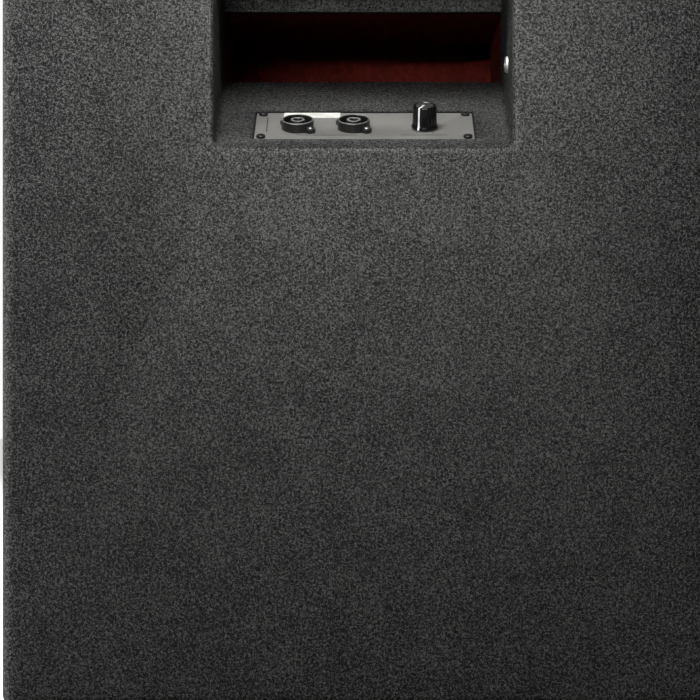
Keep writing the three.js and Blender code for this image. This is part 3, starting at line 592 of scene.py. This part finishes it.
def outer_ring(y, inset, radius):
    """The outline of the cabinet at one depth."""
    outline = round_rectangle(
        SKIN_LOW.x + inset, SKIN_HIGH.x - inset,
        SKIN_LOW.z + inset, SKIN_HIGH.z - inset, radius,
    )
    return [(x, y, z) for x, z in outline]


def rounded_steps(steps):
    """(sine, cosine) pairs from 0 to a quarter turn."""
    return [
        (math.sin(math.pi / 2 * i / steps), math.cos(math.pi / 2 * i / steps))
        for i in range(steps + 1)
    ]


def painted_light_at(vert):
    """How much painted light one point of the skin gets, from 0 to 1: painted highlights on the lips,
    the outer edges and the port's edge, and a lighter shelf.
    """
    x, y, z = vert.co
    lean = math.acos(max(-1.0, min(1.0, vert.normal.y)))
    mouth = RECESS_HALF + RECESS_LIP + 2 * MM
    # painted highlight along the recess lips
    if y > REAR_Y - RECESS_LIP - 1 * MM and abs(x) < mouth and z > SHELF_Z - 50 * MM:
        return max(0.0, 1 - abs(lean - LIP_HIGHLIGHT_LEAN) / LIP_HIGHLIGHT_WIDTH)
    # painted highlight along the outer rounded edges
    if y > REAR_Y - EDGE_RADIUS and abs(x) > SKIN_HIGH.x - EDGE_RADIUS:
        return EDGE_HIGHLIGHT * max(0.0, 1 - abs(lean - EDGE_HIGHLIGHT_LEAN) / EDGE_HIGHLIGHT_WIDTH)
    # painted light on the shelf's upward faces
    if abs(x) < RECESS_HALF and BACK_Y < y < REAR_Y - RECESS_LIP and vert.normal.z > SHELF_UP:
        return SHELF_PAINTED_LIGHT
    # painted highlight along the port slot's upper edge
    if abs(y - BACK_Y) < 1.6 * MM and abs(z - SLOT_HIGH) < 1.8 * MM:
        return PORT_EDGE_HIGHLIGHT
    return 0.0


def mark_painted_light(skin):
    """Stores the painted highlights and painted light of each point of the skin, for the coating."""
    painted_light_mask = skin.data.attributes.new("painted_light", "FLOAT", "POINT")
    for vert, value in zip(skin.data.vertices, painted_light_mask.data):
        value.value = painted_light_at(vert)


def plate_outline(margin, corner):
    """The connection plate's outline in the shelf's frame, made larger by a margin."""
    half = PLATE_SIZE[0] / 2 + margin
    return round_rectangle(PLATE_X - half, PLATE_X + half, -PLATE_SETBACK - PLATE_SIZE[1] - margin,
                           -PLATE_SETBACK + margin, corner)


def coated_skin():
    """One loft: from the port slot out of the recess, over the lip, across the rear face,
    over the outer edges to the front, into the front space and down to the driver's hole."""
    rings = []
    slot_inset = 0.5 * MM
    lip_depth = 4 * MM
    slot = (-RECESS_HALF + slot_inset, RECESS_HALF - slot_inset, SLOT_LOW + slot_inset, SLOT_HIGH)
    for y, shrink in ((BACK_Y - lip_depth, 0.0), (BACK_Y - 1.5 * MM, 0.0), (BACK_Y, 1.5 * MM)):
        outline = round_rectangle(slot[0], slot[1], slot[2], slot[3] + shrink, 1 * MM)
        rings.append([(x, y, z) for x, z in outline])
    back_corner = round_rectangle(
        -RECESS_HALF, RECESS_HALF, SLOT_LOW, CEILING, RECESS_CORNER)
    rings.append([(x, BACK_Y, z) for x, z in back_corner])
    depth_steps = 14
    tangent = REAR_Y - RECESS_LIP
    for i in range(1, depth_steps):
        rings.append(recess_ring(BACK_Y + (tangent - BACK_Y) * i / depth_steps))
    for _, c in rounded_steps(8):
        rings.append(recess_ring(REAR_Y - RECESS_LIP * c))
    for s, c in rounded_steps(6):
        inset = EDGE_RADIUS * (1 - s)
        rings.append(outer_ring(REAR_Y - EDGE_RADIUS * (1 - c), inset, max(EDGE_RADIUS * s, 1 * MM)))
    length = SKIN_HIGH.y - SKIN_LOW.y - 2 * EDGE_RADIUS
    side_steps = 8
    for i in range(1, side_steps):
        rings.append(outer_ring(REAR_Y - EDGE_RADIUS - length * i / side_steps, 0, EDGE_RADIUS))
    for s, c in rounded_steps(6):
        inset = EDGE_RADIUS * (1 - c)
        rings.append(outer_ring(SKIN_LOW.y + EDGE_RADIUS * (1 - s), inset, max(EDGE_RADIUS * c, 1 * MM)))
    inner = PLY + 2 * SKIN_GAP
    lip = 3 * MM
    for s, c in rounded_steps(4):
        rings.append(outer_ring(SKIN_LOW.y + lip * (1 - c), inner - lip * (1 - s), 4 * MM))
    rings.append(outer_ring(BAFFLE_Y, inner, 4 * MM))
    around = []
    for x, _, z in rings[-1]:
        way = Vector((x, 0, z - DRIVER_Z)).normalized() * DRIVER_HOLE
        around.append((way.x, BAFFLE_Y, DRIVER_Z + way.z))
    rings.append(around)
    skin = loft("coating_skin", rings)
    solidify = skin.modifiers.new("thickness", "SOLIDIFY")
    solidify.thickness = COAT
    solidify.offset = -1
    solidify.use_even_offset = False
    apply_modifiers(skin)
    rebate = prism("rebate", plate_outline(PLATE_MARGIN, 3 * MM), -8 * MM, 8 * MM)
    cut(skin, place(rebate, SHELF_FRAME))
    smooth_by_angle(skin, 40)
    mark_painted_light(skin)
    return finish_piece(skin, "coating", replaces=["cabinet_coating"])


coated_skin()


# =========================================================================================
# The connection plate and what stands on it, in the shelf's frame
# =========================================================================================
def disc_outline(radius, x, y, sides):
    return [
        (x + radius * math.cos(2 * math.pi * i / sides), y + radius * math.sin(2 * math.pi * i / sides))
        for i in range(sides)
    ]


def hole(radius, x, y, low=-9 * MM, high=9 * MM, sides=48):
    return prism("hole", disc_outline(radius, x, y, sides), low, high)


def screw_places():
    x = PLATE_SIZE[0] / 2 - SCREW_INSET
    near = -PLATE_SETBACK - SCREW_INSET
    far = -PLATE_SETBACK - PLATE_SIZE[1] + SCREW_INSET
    return [(PLATE_X + side * x, y) for side in (1, -1) for y in (near, far)]


def plate_sheet():
    """The painted steel plate, with its holes and softly broken edges."""
    sheet = prism("plate_sheet", plate_outline(0, 2.5 * MM), PLATE_TOP - PLATE_SIZE[2], PLATE_TOP)
    for x in SOCKET_X:
        cut(sheet, hole(13 * MM, x, SOCKET_Y))
    cut(sheet, hole(3.9 * MM, KNOB_X, KNOB_Y, sides=32))
    for x, y in screw_places():
        cut(sheet, hole(2.2 * MM, x, y, sides=24))
    bevel(sheet, 0.3 * MM, 3, 50)
    smooth_by_angle(sheet, 30)
    return finish_piece(place(sheet, SHELF_FRAME), "plate_grey", replaces=["connection_plate"])


def plate_edge_shadow_strip():
    """A black strip in the rebate, between the plate's edge and the coating: painted shadow in the gap
    round the plate.
    """
    strip = prism("plate_edge_shadow_strip", plate_outline(PLATE_MARGIN - 0.05 * MM, 3 * MM),
                  PLATE_TOP - 1.5 * MM, PLATE_TOP + 0.85 * MM)
    cut(strip, prism("inside", plate_outline(0.7 * MM, 2.7 * MM), -9 * MM, 9 * MM))
    bevel(strip, 0.2 * MM, 2)
    return finish_piece(place(strip, SHELF_FRAME), "shadow_gap_black")


def plate_screws():
    for i, (x, y) in enumerate(screw_places()):
        name = f"plate_screw_{i + 1}"
        screw = pan_screw(name + "_fine", 3.7 * MM, 2.7 * MM, 1.8 * MM, 22 * MM)
        turn = Matrix.Rotation(math.radians(25 + 70 * i), 4, "Z")
        lift = Matrix.Translation((x, y, PLATE_TOP + 0.3 * MM))
        place(screw, SHELF_FRAME @ lift @ turn)
        finish_piece(screw, "screw_black", replaces=[name])


def label():
    """A blank film label with round corners and slightly rounded edges."""
    outline = round_rectangle(19 * MM, 66.6 * MM, -PLATE_SETBACK - 68.2 * MM,
                              -PLATE_SETBACK - 55.2 * MM, 1.2 * MM)
    film = prism("label_film", outline, PLATE_TOP + 0.3 * MM, PLATE_TOP + 0.6 * MM)
    bevel(film, 0.1 * MM, 2, 50)
    return finish_piece(place(film, SHELF_FRAME), "label_white", replaces=["blank_label"])


def printed_marks():
    """Generic marks on the plate: ticks round the knob, and three plain rules."""
    ticks = 11
    travel = math.radians(300)
    low, high = PLATE_TOP + 0.02 * MM, PLATE_TOP + 0.08 * MM
    marks = []
    for i in range(ticks):
        a = math.pi / 2 - POINTER_TURN - travel * i / (ticks - 1)
        half = (0.35 if i in (0, ticks - 1) else 0.22) * MM
        near, far = (12.2 * MM, 14.6 * MM) if i % 5 == 0 else (12.2 * MM, 13.6 * MM)
        tick = block("tick", (near, -half, low), (far, half, high))
        turn = Matrix.Translation((KNOB_X, KNOB_Y, 0)) @ Matrix.Rotation(a, 4, "Z")
        marks.append(place(tick, turn))
    for x0, x1, y0, y1 in ((-70, -31, -12.4, -11.6), (4, 55, -12.2, -11.6), (79.4, 80.2, -56, -20)):
        marks.append(block("rule", (x0 * MM, -PLATE_SETBACK + y0 * MM, low),
                           (x1 * MM, -PLATE_SETBACK + y1 * MM, high)))
    print_work = place(join("printed_marks", marks), SHELF_FRAME)
    return finish_piece(print_work, "print_black")


def socket_body(name):
    """Rim, ring-shaped well with two lock notches, and a centre post with four contact slots."""
    low, rim, floor = -24 * MM, SOCKET_RIM, -9 * MM
    outer = SOCKET_RADIUS
    outline = [(0, low), (12.7 * MM, low), (12.7 * MM, 0.3 * MM), (outer - 0.3 * MM, 0.3 * MM),
               (outer, 0.6 * MM), (outer, rim - 1.0 * MM)]
    for s, c in rounded_steps(4)[1:]:
        outline.append((outer - 0.8 * MM * (1 - c), rim - 1.0 * MM + 0.8 * MM * s))
    outline += [(12.0 * MM, rim - 0.2 * MM), (WELL_RADIUS, rim - 0.8 * MM), (WELL_RADIUS, floor),
                (POST_RADIUS, floor), (POST_RADIUS, rim - 0.9 * MM)]
    for s, c in rounded_steps(3)[1:]:
        outline.append((POST_RADIUS - 0.6 * MM * (1 - c), rim - 0.9 * MM + 0.6 * MM * s))
    outline += [(3.8 * MM, rim - 0.3 * MM), (3.2 * MM, rim - 0.9 * MM), (3.2 * MM, -6 * MM),
                (0, -6 * MM)]
    body = turned(name, outline, 96)
    for turn in (90, 270):
        notch = block("notch", (WELL_RADIUS - 1 * MM, -2 * MM, -6 * MM),
                      (WELL_RADIUS + 1.1 * MM, 2 * MM, rim + 1 * MM))
        cut(body, place(notch, Matrix.Rotation(math.radians(turn), 4, "Z")))
    for turn in (45, 135, 225, 315):
        slot = block("slot", (POST_RADIUS - 1.1 * MM, -1.4 * MM, -7 * MM),
                     (POST_RADIUS + 1 * MM, 1.4 * MM, rim - 3 * MM))
        cut(body, place(slot, Matrix.Rotation(math.radians(turn), 4, "Z")))
    return body


def socket_ear(turn):
    """One fixing ear: a rounded tab that leaves the rim, with a countersunk hole."""
    height = 2.9 * MM
    middle = 14.6 * MM
    outline = round_rectangle(middle - 4.2 * MM, middle + 4.2 * MM, -4 * MM, 4 * MM, 3 * MM)
    ear = prism("ear", outline, 0.3 * MM, height)
    cut(ear, hole(12.4 * MM, 0, 0, -1 * MM, 9 * MM, 96))
    cut(ear, hole(1.7 * MM, middle + 0.6 * MM, 0, -1 * MM, 9 * MM, 24))
    bevel(ear, 0.5 * MM, 3, 50)
    return place(ear, Matrix.Rotation(turn, 4, "Z"))


def socket(name, x):
    """A round four-pole twist-lock socket, its rim ring and post crown in lighter grey as painted
    highlights, its contacts and its ear screws.
    """
    at = SHELF_FRAME @ Matrix.Translation((x, SOCKET_Y, PLATE_TOP))
    turns = (math.radians(135), math.radians(-45))
    body = join(name + "_shell", [socket_body(name), *(socket_ear(t) for t in turns)])
    finish_piece(place(smooth_by_angle(body, 35), at), "black_plastic",
                 replaces=[name, name + "_insert"])
    rim = SOCKET_RIM
    # The grey ring on the rim and the grey crown on the post are painted highlights, where the rim and
    # post catch the light.
    ring = [(r * MM, rim + z * MM) for r, z in
            ((13.05, -0.35), (12.9, -0.12), (12.5, 0.0), (12.2, -0.05), (12.1, -0.3), (12.6, -0.6))]
    crown = [(r * MM, rim + z * MM) for r, z in
             ((5.95, -0.45), (5.5, -0.2), (4.2, -0.2), (3.8, -0.35), (4.2, -0.6), (5.5, -0.6))]
    rings = join(name + "_rim", [turned("ring", ring, 96), turned("crown", crown, 64)])
    finish_piece(place(smooth_by_angle(rings, 60), at), "rim_painted_highlight")
    contacts = []
    for turn in (45, 135, 225, 315):
        strip = block("contact", (POST_RADIUS - 0.8 * MM, -1.1 * MM, -8 * MM),
                      (POST_RADIUS - 0.2 * MM, 1.1 * MM, rim - 4 * MM))
        bevel(strip, 0.15 * MM, 2)
        contacts.append(place(strip, Matrix.Rotation(math.radians(turn), 4, "Z")))
    finish_piece(place(join(name + "_contacts", contacts), at), "brass")
    screws = []
    for turn in turns:
        screw = pan_screw("ear_screw", 2.7 * MM, 1.9 * MM, 1.3 * MM, 1.5 * MM, 32)
        lift = Matrix.Translation((15.2 * MM, 0, 2.95 * MM)) @ Matrix.Rotation(0.5, 4, "Z")
        screws.append(place(screw, Matrix.Rotation(turn, 4, "Z") @ lift))
    finish_piece(place(join(name + "_ear_screws", screws), at), "zinc_steel")


def knob_profile():
    """[radius, height] up the knob's side: a flared foot, a slight taper and a rounded top."""
    foot, top = KNOB_RADIUS, KNOB_HEIGHT
    points = [(foot - 0.1 * MM, 0.0), (foot, 0.5 * MM), (foot - 0.3 * MM, 1.6 * MM),
              (foot - 0.8 * MM, 2.6 * MM), (foot - 1.0 * MM, 4 * MM), (foot - 1.1 * MM, 9 * MM),
              (foot - 1.3 * MM, top - 1.6 * MM)]
    for s, c in rounded_steps(4)[1:]:
        points.append((foot - 2.6 * MM + 1.3 * MM * c, top - 1.6 * MM + 1.2 * MM * s))
    return points


def level_knob():
    """A glossy fluted knob, with a white pointer line from its top down its side."""
    flutes, sides = 18, 18 * 10
    rings = []
    profile = knob_profile()
    for radius, z in profile:
        deep = 0.45 * MM if 2.4 * MM < z < KNOB_HEIGHT - 0.8 * MM else 0.0
        ring = []
        for i in range(sides):
            a = 2 * math.pi * i / sides
            dip = deep * (0.5 - 0.5 * math.cos(flutes * a)) ** 2
            ring.append(((radius - dip) * math.cos(a), (radius - dip) * math.sin(a), z))
        rings.append(ring)
    shoulder = KNOB_RADIUS - 3.1 * MM
    for radius, z in ((shoulder, KNOB_HEIGHT - 0.35 * MM),
                      (shoulder - 0.5 * MM, KNOB_HEIGHT - 0.8 * MM), (3 * MM, KNOB_HEIGHT - 0.8 * MM)):
        rings.append([(x, y, z) for x, y in disc_outline(radius, 0, 0, sides)])
    knob = loft("knob_cap", rings, capped=True)
    cut(knob, hole(4.6 * MM, 0, 0, -1 * MM, 9 * MM))
    cut(knob, hole(3.3 * MM, 0, 0, 7 * MM, 14 * MM, 32))
    smooth_by_angle(knob, 40)
    at = SHELF_FRAME @ Matrix.Translation((KNOB_X, KNOB_Y, PLATE_TOP + KNOB_FOOT))
    at = at @ Matrix.Rotation(math.pi / 2 - POINTER_TURN, 4, "Z")
    finish_piece(place(knob, at), "gloss_black", body="knob", replaces=["level_knob"])
    lid = [(0, -1.2 * MM), (shoulder - 0.6 * MM, -1.2 * MM), (shoulder - 0.6 * MM, -0.6 * MM),
           (shoulder - 1.0 * MM, -0.35 * MM), (4 * MM, -0.12 * MM), (0, 0)]
    lid = turned("knob_lid", [(r, KNOB_HEIGHT + z) for r, z in lid], 72)
    finish_piece(place(smooth_by_angle(lid, 35), at), "satin_black", body="knob")

    line = [(radius, z) for radius, z in profile]
    line += [(shoulder, KNOB_HEIGHT - 0.35 * MM), (shoulder - 1.0 * MM, KNOB_HEIGHT - 0.33 * MM),
             (4 * MM, KNOB_HEIGHT - 0.12 * MM), (1 * MM, KNOB_HEIGHT - 0.02 * MM)]
    middle = []
    for k, (radius, z) in enumerate(line):
        before, after = line[max(k - 1, 0)], line[min(k + 1, len(line) - 1)]
        along = Vector((after[0] - before[0], 0, after[1] - before[1])).normalized()
        middle.append((Vector((radius, 0, z)), Vector((along.z, 0, -along.x))))
    pointer = band("knob_pointer", middle, Vector((0, 1, 0)), 1.5 * MM, 0.12 * MM)
    smooth_by_angle(pointer, 50)
    finish_piece(place(pointer, at), "pointer_white", body="knob")


def wall_bolt():
    """A low domed bolt with a hexagon socket, on the recess wall."""
    low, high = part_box("recess_wall_bolt")
    centre = (low + high) / 2
    head = high.z - low.z
    radius = head / 2
    reach = high.x - low.x
    dome = [(0, -reach + 3.4 * MM), (3 * MM, -reach + 3.4 * MM), (3 * MM, 0), (radius, 0)]
    dome += [(radius, 0.7 * MM)]
    for s, c in rounded_steps(6)[1:]:
        dome.append((radius * (0.72 + 0.28 * c), 0.7 * MM + 1.9 * MM * s))
    dome.append((0, 3.2 * MM))
    bolt = turned("wall_bolt_head", dome, 64)
    cut(bolt, prism("hexagon", disc_outline(2.6 * MM, 0, 0, 6), 0.9 * MM, 5 * MM))
    smooth_by_angle(bolt, 38)
    turn = Matrix.Rotation(math.pi / 2, 4, "Y")
    at = Matrix.Translation((high.x - 3.4 * MM, centre.y, centre.z)) @ turn
    return finish_piece(place(bolt, at), "bright_zinc", replaces=["recess_wall_bolt"])


plate_sheet()
plate_edge_shadow_strip()
plate_screws()
label()
printed_marks()
socket("input_socket", SOCKET_X[0])
socket("link_socket", SOCKET_X[1])
level_knob()
wall_bolt()


# =========================================================================================
# The front: folded frame, perforated sheet, foam and screws
# =========================================================================================
HOLE_PITCH = 10.5 * MM
HOLE_ACROSS = 8.4 * MM  # across the flats of the six-sided holes
HEM = 20.5 * MM
SHEET = 1.5 * MM


def grille_ring(inset, y, radius):
    outline = round_rectangle(GRILLE_LOW.x + inset, GRILLE_HIGH.x - inset,
                              GRILLE_LOW.z + inset, GRILLE_HIGH.z - inset, radius)
    return [(x, y, z) for x, z in outline]


def grille_frame():
    """The folded rim of the grille: a flat hem, a rounded corner and a flange backwards."""
    front, back = GRILLE_LOW.y, GRILLE_HIGH.y
    rings = [grille_ring(HEM, front + SHEET, 3 * MM), grille_ring(HEM, front + 0.4 * MM, 3 * MM),
             grille_ring(HEM - 0.4 * MM, front, 3 * MM)]
    corner = 2 * MM
    for s, c in rounded_steps(5):
        rings.append(grille_ring(corner * (1 - s), front + corner * (1 - c), 4 * MM))
    rings += [grille_ring(0, back, 4 * MM), grille_ring(SHEET, back, 3 * MM),
              grille_ring(SHEET, front + SHEET + 0.4 * MM, 3 * MM),
              grille_ring(SHEET + 0.4 * MM, front + SHEET, 3 * MM)]
    frame_piece = smooth_by_angle(loft("grille_frame", rings, closed=True), 35)
    return finish_piece(frame_piece, "black_metal")


def perforated_sheet():
    """The grille's sheet, with a hexagonal pattern of real six-sided holes."""
    front = GRILLE_LOW.y + 0.35 * MM
    back = GRILLE_LOW.y + SHEET - 0.1 * MM
    ratio = HOLE_ACROSS / HOLE_PITCH
    corner = HOLE_PITCH / math.sqrt(3)
    centre_x = (GRILLE_LOW.x + GRILLE_HIGH.x) / 2
    centre_z = (GRILLE_LOW.z + GRILLE_HIGH.z) / 2
    reach_x = GRILLE_HIGH.x - centre_x - SHEET - HOLE_PITCH / 2
    reach_z = GRILLE_HIGH.z - centre_z - SHEET - corner
    rows = int(reach_z / (1.5 * corner))
    verts, faces = [], []
    for row in range(-rows, rows + 1):
        shift = HOLE_PITCH / 2 if row % 2 else 0.0
        columns = int((reach_x - shift) / HOLE_PITCH)
        for column in range(-columns - (1 if shift else 0), columns + 1):
            cx = centre_x + column * HOLE_PITCH + shift
            cz = centre_z + row * 1.5 * corner
            base = len(verts)
            for y, size in ((front, 1), (front, ratio), (back, ratio), (back, 1)):
                for i in range(6):
                    a = math.pi / 6 + math.pi * i / 3
                    verts.append((cx + corner * size * math.cos(a), y, cz + corner * size * math.sin(a)))
            for k in range(3):
                for i in range(6):
                    j = (i + 1) % 6
                    faces.append((base + 6 * k + i, base + 6 * k + j,
                                  base + 6 * k + 6 + j, base + 6 * k + 6 + i))
    sheet = new_object("grille_sheet", verts, faces, smooth=False)
    return finish_piece(sheet, "black_metal", replaces=["front_grille"])


def foam_sheet():
    """The acoustic foam behind the grille, soft at its edges and slightly uneven."""
    spread = Vector((3.6 * MM, 0, 0))  # up to the battens, so that no gap shows
    work = block("foam_pad", FOAM_LOW - spread, FOAM_HIGH + spread)
    bevel(work, 2.5 * MM, 3)
    mesh = bmesh.new()
    mesh.from_mesh(work.data)
    long_edges = [e for e in mesh.edges if e.calc_length() > 20 * MM]
    bmesh.ops.subdivide_edges(mesh, edges=long_edges, cuts=30, use_grid_fill=True)
    middle = (FOAM_LOW.y + FOAM_HIGH.y) / 2
    for vert in mesh.verts:
        wave = math.sin(vert.co.x * 61) * math.sin(vert.co.z * 53) + math.sin(vert.co.x * 23 + 1)
        away = 1 if vert.co.y > middle else -1
        vert.co.y -= away * 0.25 * MM * (1 + 0.5 * wave)
    mesh.to_mesh(work.data)
    mesh.free()
    smooth_by_angle(work, 50)
    finish_piece(work, "foam", replaces=["grille_foam"])


def grille_screws():
    """Low domed screws, in the corners and along the hem."""
    for i in range(1, 5):
        name = f"grille_screw_{i}"
        low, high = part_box(name)
        x, z = (low.x + high.x) / 2, (low.z + high.z) / 2
        screw = pan_screw(name + "_fine", 4.6 * MM, 2.0 * MM, 1.9 * MM, 23 * MM)
        rise = 0.35 * MM
        place(screw, Matrix.Translation((0, 0, rise)) @ Matrix.Rotation(0.4 * i, 4, "Z"))
        at = Matrix.Translation((x, GRILLE_LOW.y, z)) @ Matrix.Rotation(math.pi / 2, 4, "X")
        finish_piece(place(screw, at), "black_metal", replaces=[name])


grille_frame()
perforated_sheet()
foam_sheet()
grille_screws()


# =========================================================================================
# Feet
# =========================================================================================
def feet():
    """Round rubber feet with a moulded step, each with a screw in its recess."""
    for i in range(1, 5):
        low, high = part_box(f"foot_{i}")
        x, y = (low.x + high.x) / 2, (low.y + high.y) / 2
        radius = (high.x - low.x) / 2
        tall = high.z - low.z
        outline = [(6.2 * MM, 0), (radius - 3.6 * MM, 0)]
        for s, c in rounded_steps(4)[1:]:
            outline.append((radius - 3.6 * MM + 1.6 * MM * s, 1.6 * MM * (1 - c)))
        outline += [(radius - 0.9 * MM, tall * 0.62), (radius - 0.2 * MM, tall * 0.66),
                    (radius, tall * 0.72), (radius, tall), (2.5 * MM, tall),
                    (2.5 * MM, 5.5 * MM), (6.2 * MM, 5.5 * MM)]
        foot = smooth_by_angle(turned(f"foot_{i}_moulding", outline, 72), 35)
        at = Matrix.Translation((x, y, low.z))
        finish_piece(place(foot, at), "rubber", replaces=[f"foot_{i}"])
        screw = pan_screw(f"foot_{i}_screw", 5 * MM, 2.2 * MM, 2.1 * MM, 24 * MM)
        turn = Matrix.Rotation(math.pi, 4, "X") @ Matrix.Rotation(0.7 * i, 4, "Z")
        finish_piece(place(screw, at @ Matrix.Translation((0, 0, 5.2 * MM)) @ turn), "zinc_steel")


feet()


def ring_around_driver(name, outline, material, replaced):
    """A turned ring in the driver's frame that bends from the cabinet to the cone."""
    ring = smooth_by_angle(turned(name, outline, 96), 50)
    place(ring, DRIVER_FRAME)
    ring.data.materials.clear()
    ring.data.materials.append(MATERIALS[material])
    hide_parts(replaced)
    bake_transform(ring)


def surround():
    """A rubber half-roll of even thickness, from the flange to the cone's edge."""
    foot, middle, roll, thick = 5.6 * MM, 195.5 * MM, 9.5 * MM, 1.2 * MM
    edge = -9 * MM
    inner = middle - roll

    def arc(radius):
        steps = 12
        return [(middle + radius * math.cos(math.pi * i / steps),
                 foot + thick + radius * math.sin(math.pi * i / steps)) for i in range(steps + 1)]

    outline = [(213 * MM, foot), (213 * MM, foot + thick), *arc(roll + thick / 2),
               (inner - thick / 2, edge + 1.7 * MM), (inner - 9 * MM, edge + 1.7 * MM),
               (inner - 9 * MM, edge + 0.5 * MM), (inner + thick / 2, edge + 0.5 * MM),
               *reversed(arc(roll - thick / 2)), (middle + roll - thick / 2, foot)]
    ring_around_driver("surround_roll", outline, "rubber", "cone_surround")


def spider():
    """A corrugated cloth ring from the basket's ledge to the voice coil."""
    clamp, drop, turns, thick = -84 * MM, 13 * MM, 5, 0.5 * MM
    inner, outer = 52.4 * MM, 114 * MM
    steps = turns * 10
    line = []
    for i in range(steps + 1):
        t = i / steps
        fade = min(1.0, 6 * t, 6 * (1 - t))
        wave = 1.6 * MM * fade * math.sin(2 * math.pi * turns * t)
        line.append((inner + (outer - inner) * t, clamp - drop * (1 - t) + wave + 1 * MM))
    under = [(r, z - thick) for r, z in line]
    rim = clamp + 0.3 * MM
    outline = [*under, (126 * MM, rim), (126 * MM, rim + 0.8 * MM), *reversed(line)]
    ring_around_driver("spider_ring", outline, "spider_cloth",
                       "suspension_spider")


surround()
spider()


# =========================================================================================
# Materials of the CAD nodes that stay
# =========================================================================================
def dress_cad_nodes():
    """Every carried-over node gets the finish of its record slot."""
    slots = {s["node"]: s["material_slot"] for s in frame["record"]["subparts"]}
    for name, obj in frame["nodes"].items():
        if obj.hide_render:
            continue
        obj.data.materials.clear()
        obj.data.materials.append(MATERIALS[slots[name]])
    # The battens are painted black; the recess shelf is made black where it shows in the gap round the
    # plate: painted shade.
    black_paint_and_shade = ("grille_batten_left", "grille_batten_right", "recess_shelf", "recess_rear_board")
    for name in black_paint_and_shade:
        frame["nodes"][name].data.materials[0] = MATERIALS["black_wood_and_shade"]


dress_cad_nodes()


# =========================================================================================
# Camera, floor and light
# =========================================================================================
def camera():
    """Level with the lower middle of the cabinet, straight at the rear face."""
    data = bpy.data.cameras.new("camera")
    data.sensor_width = 36
    data.lens = 125.5
    data.shift_x = -0.0186
    data.dof.use_dof = False
    obj = bpy.data.objects.new("camera", data)
    obj.location = (0, REAR_Y + 1.975, SKIN_LOW.z + 0.290)
    obj.rotation_euler = (math.pi / 2, 0, math.pi)
    bpy.context.scene.collection.objects.link(obj)
    bpy.context.scene.camera = obj


def area_light(name, location, target, size, power, spread=180):
    data = bpy.data.lights.new(name, "AREA")
    data.spread = math.radians(spread)
    data.shape = "RECTANGLE"
    data.size, data.size_y = size
    data.energy = power
    obj = bpy.data.objects.new(name, data)
    obj.location = location
    way = Vector(target) - Vector(location)
    obj.rotation_euler = way.to_track_quat("-Z", "Y").to_euler()
    bpy.context.scene.collection.objects.link(obj)


def studio():
    """A pale floor and world, and a key, a fill, two rim, a side and a front light."""
    half = 6.0
    floor = new_object("floor", [(-half, -half, 0), (half, -half, 0), (half, half, 0), (-half, half, 0)],
                       [(0, 1, 2, 3)])
    m = Nodes("pale_floor", Roughness=0.7, Emission_Color=(1, 1, 0.99, 1))
    m.set("Base Color", m.ramp(m.noise(3, 2), (0.3, (0.27, 0.27, 0.267)), (0.7, (0.29, 0.29, 0.287))))
    seen = m.add("ShaderNodeLightPath").outputs["Is Camera Ray"]
    m.set("Emission Strength", m.math("MULTIPLY", seen, 0.66))
    floor.data.materials.append(m.material)
    world = bpy.data.worlds.new("studio")
    world.use_nodes = True
    tree = world.node_tree
    path = tree.nodes.new("ShaderNodeLightPath")
    level = tree.nodes.new("ShaderNodeMapRange")
    level.inputs["To Min"].default_value = 0.05
    level.inputs["To Max"].default_value = 0.95
    tree.links.new(path.outputs["Is Camera Ray"], level.inputs["Value"])
    tree.links.new(level.outputs["Result"], tree.nodes["Background"].inputs["Strength"])
    tree.nodes["Background"].inputs["Color"].default_value = (1, 1, 1, 1)
    bpy.context.scene.world = world
    area_light("key", (0.14, REAR_Y + 0.40, 1.12), (0.08, REAR_Y, 0.62), (0.6, 0.2), 3.9, 120)
    area_light("fill", (0.30, REAR_Y + 2.1, 0.66), (0.02, REAR_Y, 0.63), (0.4, 0.2), 0.25, 20)
    for side, power in ((1, 18), (-1, 6)):
        area_light("rim", (side * 1.9, REAR_Y + 0.08, 0.75), (0, REAR_Y, 0.45), (0.12, 1.1), power)
    area_light("side", (2.3, REAR_Y - 0.15, 1.0), (0.2, REAR_Y - 0.2, 0.4), (0.6, 1.4), 30)
    area_light("front", (0.8, -2.4, 1.9), (0, -0.3, 0.35), (1.6, 1.6), 150)
    bpy.context.scene.view_settings.view_transform = "Standard"


camera()
studio()
